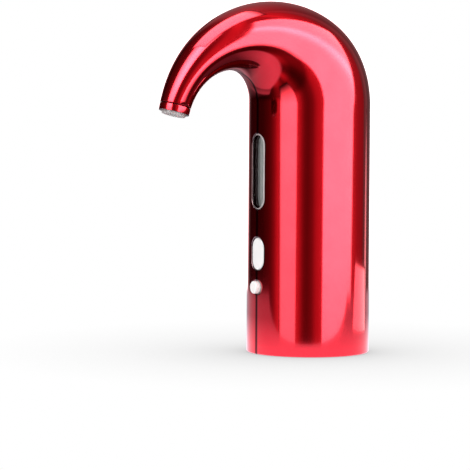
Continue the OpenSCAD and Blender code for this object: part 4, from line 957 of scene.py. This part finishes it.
class AERATOR_OT_window(bpy.types.Operator):
    """Makes the window lens and finishes the mixing parts behind it"""

    bl_idname = "aerator.window"
    bl_label = "Window"

    def execute(self, context):
        sizes = context.scene.aerator_sizes
        parts, masks = lens_parts(sizes)
        lens = add_piece("clear_lens", parts, finish("clear_plastic"), "housing",
                         "window_lens", masks)
        # The lens's rounded edge gets the matt pale pink finish, a painted highlight
        mark_faces(lens, "rim", finish("frosted_plastic"))
        paint_nodes("smoky_plastic", "mixing_chamber")
        paint_nodes("clear_plastic", "drop_tube", "window_lamp")
        paint_nodes("dark_plastic", "flow_bridge", "chamber_cap")
        return {"FINISHED"}


class AERATOR_OT_keys(bpy.types.Operator):
    """Makes the oval pour key and the round power key"""

    bl_idname = "aerator.keys"
    bl_label = "Keys"

    def execute(self, context):
        sizes = context.scene.aerator_sizes
        white = finish("white_plastic")
        add_piece("oval_key", pour_parts(sizes), white, "pour_key", "pour_button")
        add_piece("round_key", power_parts(sizes), white, "power_key", "power_button")
        return {"FINISHED"}


# Dip tube sections: name, body, outer radius, bore, lip and collar radius, top, in millimetres
DIP_TUBE = [("sleeve", "housing", 4.25, 3.85, 3.61, 4.25, 125.7),
            ("upper", "upper_section", 3.55, 3.15, 2.91, 3.79, 124.7),
            ("middle", "middle_section", 2.85, 2.45, 2.21, 3.09, 124.7),
            ("lower", "lower_section", 2.15, 1.75, 1.75, 2.39, 124.7)]
AIR_PORT = (0, 6.4 * MM, 0)


class AERATOR_OT_base(bpy.types.Operator):
    """Makes the stopper and the dip tube, and finishes the base"""

    bl_idname = "aerator.base"
    bl_label = "Base and dip tube"

    def execute(self, context):
        paint_nodes("dark_plastic", "base_cover", "neck_seat")
        paint_nodes("drawn_steel", "base_screws")
        black = finish("black_silicone")
        stopper = add_piece("ribbed_stopper", stopper_parts(), black, "housing",
                            "bottle_stopper")
        port = turned([(5, 0), (5, 0.9), (35, 0.9), (35, 0)], AIR_PORT, UP, 40)
        combine(stopper, [port], "DIFFERENCE")
        add_piece("soft_foot", foot_parts(), black, "lower_section", "tube_foot")
        for name, body, outer, bore, lip, collar, top in DIP_TUBE:
            parts = tube_section_parts(outer, bore, lip, collar, top)
            add_piece(name + "_tube", parts, finish("drawn_steel"), body, "tube_" + name)
        return {"FINISHED"}


class AERATOR_OT_pump(bpy.types.Operator):
    """Makes the hoses, the valve and the diaphragm, and finishes the pump and the motor"""

    bl_idname = "aerator.pump"
    bl_label = "Pump and motor"

    def execute(self, context):
        paint_nodes("dark_plastic", "pump_cover", "pump_case", "motor_end_cap", "check_valve")
        paint_nodes("white_plastic", "valve_plate", "pump_cam", "pump_rocker")
        disc, cups, hollows = diaphragm_parts()
        sheet = add_piece("cupped_diaphragm", disc, finish("black_silicone"), "housing",
                          "pump_diaphragm")
        combine(sheet, cups, "UNION")
        combine(sheet, hollows, "DIFFERENCE")
        sizes = context.scene.aerator_sizes
        for name, parts, node in (("nozzle_hose", spout_hose_parts(sizes), "spout_hose"),
                                  ("chamber_hose", aeration_hose_parts(), "aeration_hose"),
                                  ("valve_hoses", air_hose_parts(), "air_hoses"),
                                  ("umbrella_valve", valve_parts(), "outlet_valve")):
            add_piece(name, parts, finish("milky_silicone"), "housing", node)
        paint_nodes("drawn_steel", "pump_screws", "motor_can", "motor_shaft", "wobble_pin")
        paint_nodes("sintered_bronze", "motor_bushes")
        paint_nodes("ferrite_grey", "motor_magnets")
        paint_nodes("copper_winding", "armature")
        return {"FINISHED"}


class AERATOR_OT_electrics(bpy.types.Operator):
    """Finishes the inner frame, the battery and the boards"""

    bl_idname = "aerator.electrics"
    bl_label = "Frame and electrics"

    def execute(self, context):
        paint_nodes("dark_plastic", "lower_deck", "upper_deck", "push_switches")
        paint_nodes("drawn_steel", "deck_screws", "charge_socket")
        paint_nodes("battery_sleeve", "battery_cell")
        paint_nodes("green_board", "button_board", "charge_board")
        return {"FINISHED"}


# Stage

# Levels of the room in reflections, by degrees: over the azimuth from the front towards +X, a dimming below
# the horizon, and light overhead
AROUND_STOPS = [(-180, 0.13), (-175, 0.14), (-170, 0.2), (-160, 0.09), (-125, 0.24), (-100, 0.22),
                (-84, 0.02), (-40, 0.03), (-25, 0.07), (-18, 0.12), (-11, 0.25), (-4.5, 0.55), (2, 0.75),
                (20, 0.2), (33, 0.7), (37, 0.58), (43.5, 0.28), (48, 0.16), (54, 0.12), (63, 0.20),
                (72, 0.50), (80, 0.6), (95, 0.15), (132, 0.2), (144, 0.62), (149, 0.55), (160, 0.34),
                (172, 0.28), (177, 0.24)]
LOW_STOPS = [(-42, 0.8), (-30, 0.35), (-12, 0.35), (-6, 1.0)]
UPWARD_STOPS = [(5, 0.0), (15, 0.03), (35, 0.04), (48, 0.07), (60, 0.16), (72, 0.28)]
WARM = (1.0, 0.18, 0.24)
WHITE = (1, 1, 1)

# Second reflections, as a share of the first: of the room, the softboxes and the floor
ROOM_AGAIN, BOX_AGAIN, FLOOR_AGAIN = 0.7, 0.05, 0.1


def light_ramp(tree, value, stops, span, warm_from, warm_to):
    """A colour ramp over an angle, which runs through span degrees as the value runs from 0 to 1. A stop is
    (degrees, level); its light is warm between two angles and white elsewhere."""
    ramp = add_node(tree, "ValToRGB", {"Fac": value})
    points = ramp.color_ramp.elements
    while len(points) < len(stops):
        points.new(0.5)
    for point, (degrees, level) in zip(points, sorted(stops)):
        point.position = degrees / span + 0.5
        shade = WARM if warm_from < degrees < warm_to else WHITE
        point.color = (*(level * c for c in shade), 1)
    return ramp.outputs["Color"]


def of_vectors(tree, operation, first, second):
    """Result of a Vector Math node that works on two vectors."""
    return add_node(tree, "VectorMath", {0: first, 1: second}, operation=operation).outputs[0]


def first_look(tree, path, later):
    """1 in first reflections and a smaller share in later ones."""
    return mapped(tree, path["Glossy Depth"], 1.0, 2.0, 1.0, later)


def studio_world(studio):
    """White for the camera and clear pieces, an even grey for matt surfaces, and for gloss a dim room that is
    warm, and lighter beside the softboxes and overhead: levels over the azimuth, atan2(x, -y), dimmed below
    the horizon, plus levels over the height. Second reflections of it are dimmer."""
    world = bpy.data.worlds.new("studio")
    bpy.context.scene.world = world
    world.use_nodes = True
    tree = world.node_tree
    way = add_node(tree, "SeparateXYZ", {0: add_node(tree, "TexCoord").outputs["Generated"]}).outputs
    path = add_node(tree, "LightPath").outputs
    azimuth = worked_out(tree, "ARCTAN2", way["X"], worked_out(tree, "MULTIPLY", way["Y"], -1.0))
    around = worked_out(tree, "MULTIPLY_ADD", azimuth, 1 / (2 * math.pi), 0.5)
    rise = worked_out(tree, "ARCSINE", way["Z"])
    upward = worked_out(tree, "MULTIPLY_ADD", rise, 1 / math.pi, 0.5)
    walls = light_ramp(tree, around, AROUND_STOPS, 360, -90, 178)
    lower = of_vectors(tree, "MULTIPLY", walls, light_ramp(tree, upward, LOW_STOPS, 180, 0, 0))
    room = of_vectors(tree, "ADD", lower, light_ramp(tree, upward, UPWARD_STOPS, 180, -90, 90))
    again = first_look(tree, path, ROOM_AGAIN)
    dimmed = add_node(tree, "VectorMath", {0: room, "Scale": again}, operation="SCALE").outputs[0]
    even = (studio.ambient, studio.ambient, studio.ambient, 1)
    shine = blended(tree, path["Is Glossy Ray"], even, dimmed)
    seen = worked_out(tree, "MAXIMUM", path["Is Camera Ray"], path["Is Transmission Ray"])
    tree.links.new(blended(tree, seen, shine, (*WHITE, 1)), tree.nodes["Background"].inputs["Color"])


def stage_material(name):
    """A new material with its node tree."""
    material = bpy.data.materials.new(name)
    material.use_nodes = True
    return material, material.node_tree


def glow_material():
    """Light of the softboxes, from the glow of each point; second reflections of it are dimmer."""
    material, tree = stage_material("softbox_glow")
    tree.nodes.remove(tree.nodes["Principled BSDF"])
    glow = add_node(tree, "Attribute", attribute_name="glow").outputs["Fac"]
    again = first_look(tree, add_node(tree, "LightPath").outputs, BOX_AGAIN)
    light = add_node(tree, "Emission", {"Strength": worked_out(tree, "MULTIPLY", glow, again)})
    tree.links.new(light.outputs[0], tree.nodes["Material Output"].inputs["Surface"])
    return material


def fade(s, first, last):
    """Smooth rise over a first share and smooth fall over a last share of 0 to 1."""
    rise, fall = np.clip(s / first, 0, 1), np.clip((1 - s) / last, 0, 1)
    return rise ** 2 * (3 - 2 * rise) * fall ** 2 * (3 - 2 * fall)


# Softboxes: name, azimuth in degrees or None for overhead, corners (u, v) at the lower left, lower right,
# upper left and upper right, soft shares at the left, right, bottom and top, core as a line with its radius
# and swell, share of the light, reach and height in metres
SOFTBOXES = [
    ("softbox_right", 105, [(-0.455, -0.3), (0.72, -0.3), (-0.15, 2.25), (2.8, 2.25)],
     (0.03, 0.10, 0.10, 0.06), ((-0.27, 0.95), (1.0, 0.5), 0.2, 0.8), 0.84, 3.0, 0.12),
    ("softbox_front", 18, [(-0.19, -0.6), (0.20, -0.6), (-1.05, 2.5), (0.72, 2.5)],
     (0.16, 0.06, 0.25, 0.05), ((0.10, 0.65), (-0.05, 2.3), 0.4, 1.6), 0.59, 3.0, 0.12),
    ("softbox_back", -122, [(-0.45, -0.2), (0.62, -0.2), (-0.4, 0.5), (0.5, 0.5)],
     (0.3, 0.4, 0.2, 0.3), ((-0.1, 0.2), (0.1, 0.2), 0.2, 0.2), 0.6, 3.0, 0.12),
    ("softbox_top", None, [(-0.46, -0.62), (0.48, -0.62), (-0.42, 0.25), (0.10, 0.26)],
     (0.15, 0.15, 0.05, 0.15), ((-0.1, -0.2), (0.1, -0.2), 0.2, 0.1), 0.78, 3.0, 0.12),
    ("edge_strip", -168, [(-0.16, -0.2), (0.14, -0.2), (-0.03, -0.008), (0.03, -0.008)],
     (0.15, 0.3, 0.05, 0.2), ((-0.1, 0.1), (0.1, 0.1), 0.2, 0.0), 0.2, 3.0, 0.12),
    ("low_card", 172, [(-0.64, -0.07), (0.24, -0.07), (-0.48, 0.275), (0.14, 0.25)],
     (0.06, 0.12, 0.02, 0.06), ((-0.1, 0.1), (0.1, 0.1), 0.2, 0.0), 0.4, 0.15, 0.0),
]
BOX_ROWS = 80


def facing(degrees):
    """Directions ahead, sideways and up for a wall at an azimuth, counted from the front towards +X, or for
    a ceiling where there is none."""
    if degrees is None:
        return np.array([(0, 0, 1), (1, 0, 0), (0, 1, 0)], float)
    a = math.radians(degrees)
    return np.array([(math.sin(a), -math.cos(a), 0), (math.cos(a), math.sin(a), 0), (0, 0, 1)])


def add_softbox(material, light, name, degrees, corners, soft, core, level, reach, height):
    """A flat softbox that shows only in reflections. Its points are height + reach (ahead + u side + v up),
    and (u, v) runs between four corners by bilinear blending. The glow fades over the soft shares at the
    edges, and swells by exp(-(gap / radius)^2), where gap is the distance from the core line."""
    ahead, side, up = facing(degrees)
    steps = np.linspace(0, 1, BOX_ROWS)
    s, t = np.meshgrid(steps, steps, indexing="ij")
    low_left, low_right, high_left, high_right = np.asarray(corners, float)
    share_s, share_t = s[..., None], t[..., None]
    place = ((1 - share_s) * (1 - share_t) * low_left + share_s * (1 - share_t) * low_right
             + (1 - share_s) * share_t * high_left + share_s * share_t * high_right)
    start, line, radius, swell = np.asarray(core[0]), np.subtract(core[1], core[0]), core[2], core[3]
    along = np.clip(((place - start) @ line) / (line @ line), 0, 1)
    gap = np.linalg.norm(place - start - along[..., None] * line, axis=-1)
    edges = fade(s, soft[0], soft[1]) * fade(t, soft[2], soft[3])
    points = np.array([0, 0, height]) + reach * (ahead + place[..., :1] * side + place[..., 1:] * up)
    mesh = quad_mesh(name, points.reshape(-1, 3), grid_quads(BOX_ROWS, BOX_ROWS, wrap=False))
    set_attribute(mesh, "glow", light * level * edges * (1 + swell * np.exp(-(gap / radius) ** 2)))
    mesh.materials.append(material)
    box = add_object(name, mesh)
    box.visible_camera = False
    box.visible_diffuse = False
    box.visible_transmission = False
    box.visible_shadow = False


def floor_material(studio):
    """Pale matt floor. The camera sees it as white, darkened by the object's contact shadow, which is
    0.75 (1 - open sky) from ambient occlusion. In reflections it is a bright patch round the base that ends
    at a line across the camera's view. Steep rays, longer than their end's distance from the axis, see a
    dimmer patch inside a circle and a slanted line, which fades to the back and turns pale again on the left.
    Second reflections are dim. The limits of each fade are distances in metres."""
    material, tree = stage_material("pale_floor")
    matt = tree.nodes["Principled BSDF"]
    matt.inputs["Base Color"].default_value = (0.85, 0.85, 0.85, 1)
    matt.inputs["Roughness"].default_value = 0.9
    matt.inputs["Specular IOR Level"].default_value = 0.0
    path = add_node(tree, "LightPath").outputs
    air = add_node(tree, "BsdfTransparent").outputs[0]

    sky = add_node(tree, "AmbientOcclusion", {"Distance": 0.16}, samples=16).outputs["AO"]
    shade = worked_out(tree, "MULTIPLY", worked_out(tree, "SUBTRACT", 1.0, sky), 0.75)
    dark = add_node(tree, "Emission", {"Color": (0.05, 0.04, 0.04, 1)}).outputs[0]
    shadow = mixed(tree, shade, air, dark)

    place = add_node(tree, "TexCoord").outputs["Object"]
    at = add_node(tree, "SeparateXYZ", {0: place}).outputs
    away = add_node(tree, "VectorMath", {0: place}, operation="LENGTH").outputs["Value"]

    def ahead_of(direction):
        """Distance of the place along a level direction."""
        dot = add_node(tree, "VectorMath", {0: place, 1: direction}, operation="DOT_PRODUCT")
        return dot.outputs["Value"]

    ahead = ahead_of((math.sin(studio.azimuth), -math.cos(studio.azimuth), 0))
    near = mapped(tree, away, 0.38, 0.46, 1.0, 0.0, "SMOOTHSTEP")
    edge = mapped(tree, ahead, 0.098, 0.106, 1.0, 0.0, "SMOOTHSTEP")
    patch = worked_out(tree, "MULTIPLY", near, edge)
    glow = mapped(tree, away, 0.06, 0.24, 1.2, 0.5)

    front = mapped(tree, ahead, -0.15, 0.1, 0.25, 0.8)
    back = mapped(tree, at["Y"], -0.045, 0.03, 1.0, 0.15)
    left = mapped(tree, at["X"], -0.1, -0.2, 0.0, 0.4)
    below = worked_out(tree, "MAXIMUM", worked_out(tree, "MULTIPLY", front, back), left)
    circle = mapped(tree, away, 0.25, 0.28, 1.0, 0.0)
    line = mapped(tree, ahead_of((0.61, -0.79, 0)), 0.155, 0.178, 1.0, 0.0)
    wide = worked_out(tree, "MAXIMUM", left, worked_out(tree, "MULTIPLY", circle, line))

    steep = mapped(tree, worked_out(tree, "SUBTRACT", path["Ray Length"], away), -0.005, 0.02)
    shape = blended(tree, steep, patch, wide, "FLOAT")
    strength = blended(tree, steep, glow, below, "FLOAT")
    level = worked_out(tree, "MULTIPLY", strength, first_look(tree, path, FLOOR_AGAIN))
    pool = add_node(tree, "Emission", {"Color": (1, 1, 1.12, 1), "Strength": level}).outputs[0]
    mirrored = mixed(tree, shape, air, pool)

    for_camera = mixed(tree, path["Is Camera Ray"], matt.outputs[0], shadow)
    for_gloss = mixed(tree, path["Is Glossy Ray"], for_camera, mirrored)
    tree.links.new(for_gloss, tree.nodes["Material Output"].inputs["Surface"])
    return material


# Height of the floor and radii of its rings
FLOOR_Z = -0.1 * MM
FLOOR_RADII = np.geomspace(0.02, 6.0, 40)

# Lamps: name, place, size in metres and power in watts; and the place that they look at
LAMPS = [("key_lamp", (-0.9, -1.5, 1.9), 1.4, 22.0), ("fill_lamp", (1.6, -0.6, 1.5), 1.4, 12.0)]
LAMP_AIM = Vector((0, 0, 0.09))

# The camera's sensor in millimetres, and how far it sees in metres
SENSOR_WIDTH = 36
FAR = 50


def add_floor(studio):
    """A round floor just below the base: rings of growing radius."""
    a = np.linspace(0, 2 * math.pi, 96, endpoint=False)
    x = np.concatenate([[0 * a], FLOOR_RADII[:, None] * np.cos(a)])
    y = np.concatenate([[0 * a], FLOOR_RADII[:, None] * np.sin(a)])
    points = np.stack([x, y, np.full(x.shape, FLOOR_Z)], -1).reshape(-1, 3)
    floor = add_object("floor", build_mesh("floor", [(points, grid_quads(len(x), len(a)))]))
    floor.data.materials.append(floor_material(studio))


def add_lamp(name, place, size, power):
    """A square soft lamp that looks at the middle of the object and isn't mirrored in the lacquer."""
    lamp = bpy.data.lights.new(name, "AREA")
    lamp.size = size
    lamp.energy = power
    held = add_object(name, lamp)
    held.location = place
    held.rotation_euler = (LAMP_AIM - Vector(place)).to_track_quat("-Z", "Y").to_euler()
    held.visible_glossy = False


def add_camera(studio):
    """The camera, turned round from the front, that looks a little left of and below a level line."""
    a = studio.azimuth
    ahead, right = Vector((-math.sin(a), math.cos(a), 0)), Vector((math.cos(a), math.sin(a), 0))
    sight = (ahead + right * studio.aim_side + Vector((0, 0, studio.aim_down))).normalized()
    level = sight.cross(Vector(UP)).normalized()
    turned = Matrix((level, level.cross(sight), -sight)).transposed() @ Matrix.Rotation(studio.roll, 3, "Z")
    lens = bpy.data.cameras.new("camera")
    lens.lens = studio.focal
    lens.sensor_width = SENSOR_WIDTH
    lens.clip_end = FAR
    camera = add_object("camera", lens)
    place = Matrix.Translation((*(-ahead.xy * studio.distance), studio.height))
    camera.matrix_world = place @ turned.to_4x4()
    bpy.context.scene.camera = camera


class AERATOR_OT_stage(bpy.types.Operator):
    """Sets up the floor, the light and the camera"""

    bl_idname = "aerator.stage"
    bl_label = "Stage"

    def execute(self, context):
        studio = context.scene.aerator_studio
        context.scene.view_settings.view_transform = "Standard"
        studio_world(studio)
        add_floor(studio)
        glow = glow_material()
        for softbox in SOFTBOXES:
            add_softbox(glow, studio.box_light, *softbox)
        for lamp in LAMPS:
            add_lamp(*lamp)
        add_camera(studio)
        return {"FINISHED"}


OPERATORS = (AERATOR_OT_stage, AERATOR_OT_shells, AERATOR_OT_nozzle, AERATOR_OT_window, AERATOR_OT_keys,
             AERATOR_OT_base, AERATOR_OT_pump, AERATOR_OT_electrics)


class AERATOR_PT_panel(bpy.types.Panel):
    """Lists the aerator's operators and settings"""

    bl_idname = "AERATOR_PT_panel"
    bl_label = "Wine aerator"
    bl_space_type = "VIEW_3D"
    bl_region_type = "UI"
    bl_category = "Aerator"

    def draw(self, context):
        for made in OPERATORS:
            self.layout.operator(made.bl_idname)
        for settings, kind in SETTINGS.items():
            box = self.layout.box()
            for name in kind.__annotations__:
                box.prop(getattr(context.scene, settings), name)


SETTINGS = {"aerator_sizes": AeratorSizes, "aerator_finish": AeratorFinish, "aerator_studio": StudioSettings}


def register():
    """Registers the settings, the operators and the panel."""
    for name, group in SETTINGS.items():
        bpy.utils.register_class(group)
        setattr(bpy.types.Scene, name, PointerProperty(type=group))
    for made in OPERATORS + (AERATOR_PT_panel,):
        bpy.utils.register_class(made)


def unregister():
    """Takes back what register adds."""
    for made in (AERATOR_PT_panel,) + OPERATORS[::-1]:
        bpy.utils.unregister_class(made)
    for name, group in SETTINGS.items():
        delattr(bpy.types.Scene, name)
        bpy.utils.unregister_class(group)


def main():
    """Builds the scene."""
    register()
    bpy.ops.aerator.stage()
    bpy.ops.aerator.shells()
    bpy.ops.aerator.nozzle()
    bpy.ops.aerator.window()
    bpy.ops.aerator.keys()
    bpy.ops.aerator.base()
    bpy.ops.aerator.pump()
    bpy.ops.aerator.electrics()


if __name__ == "__main__":
    main()
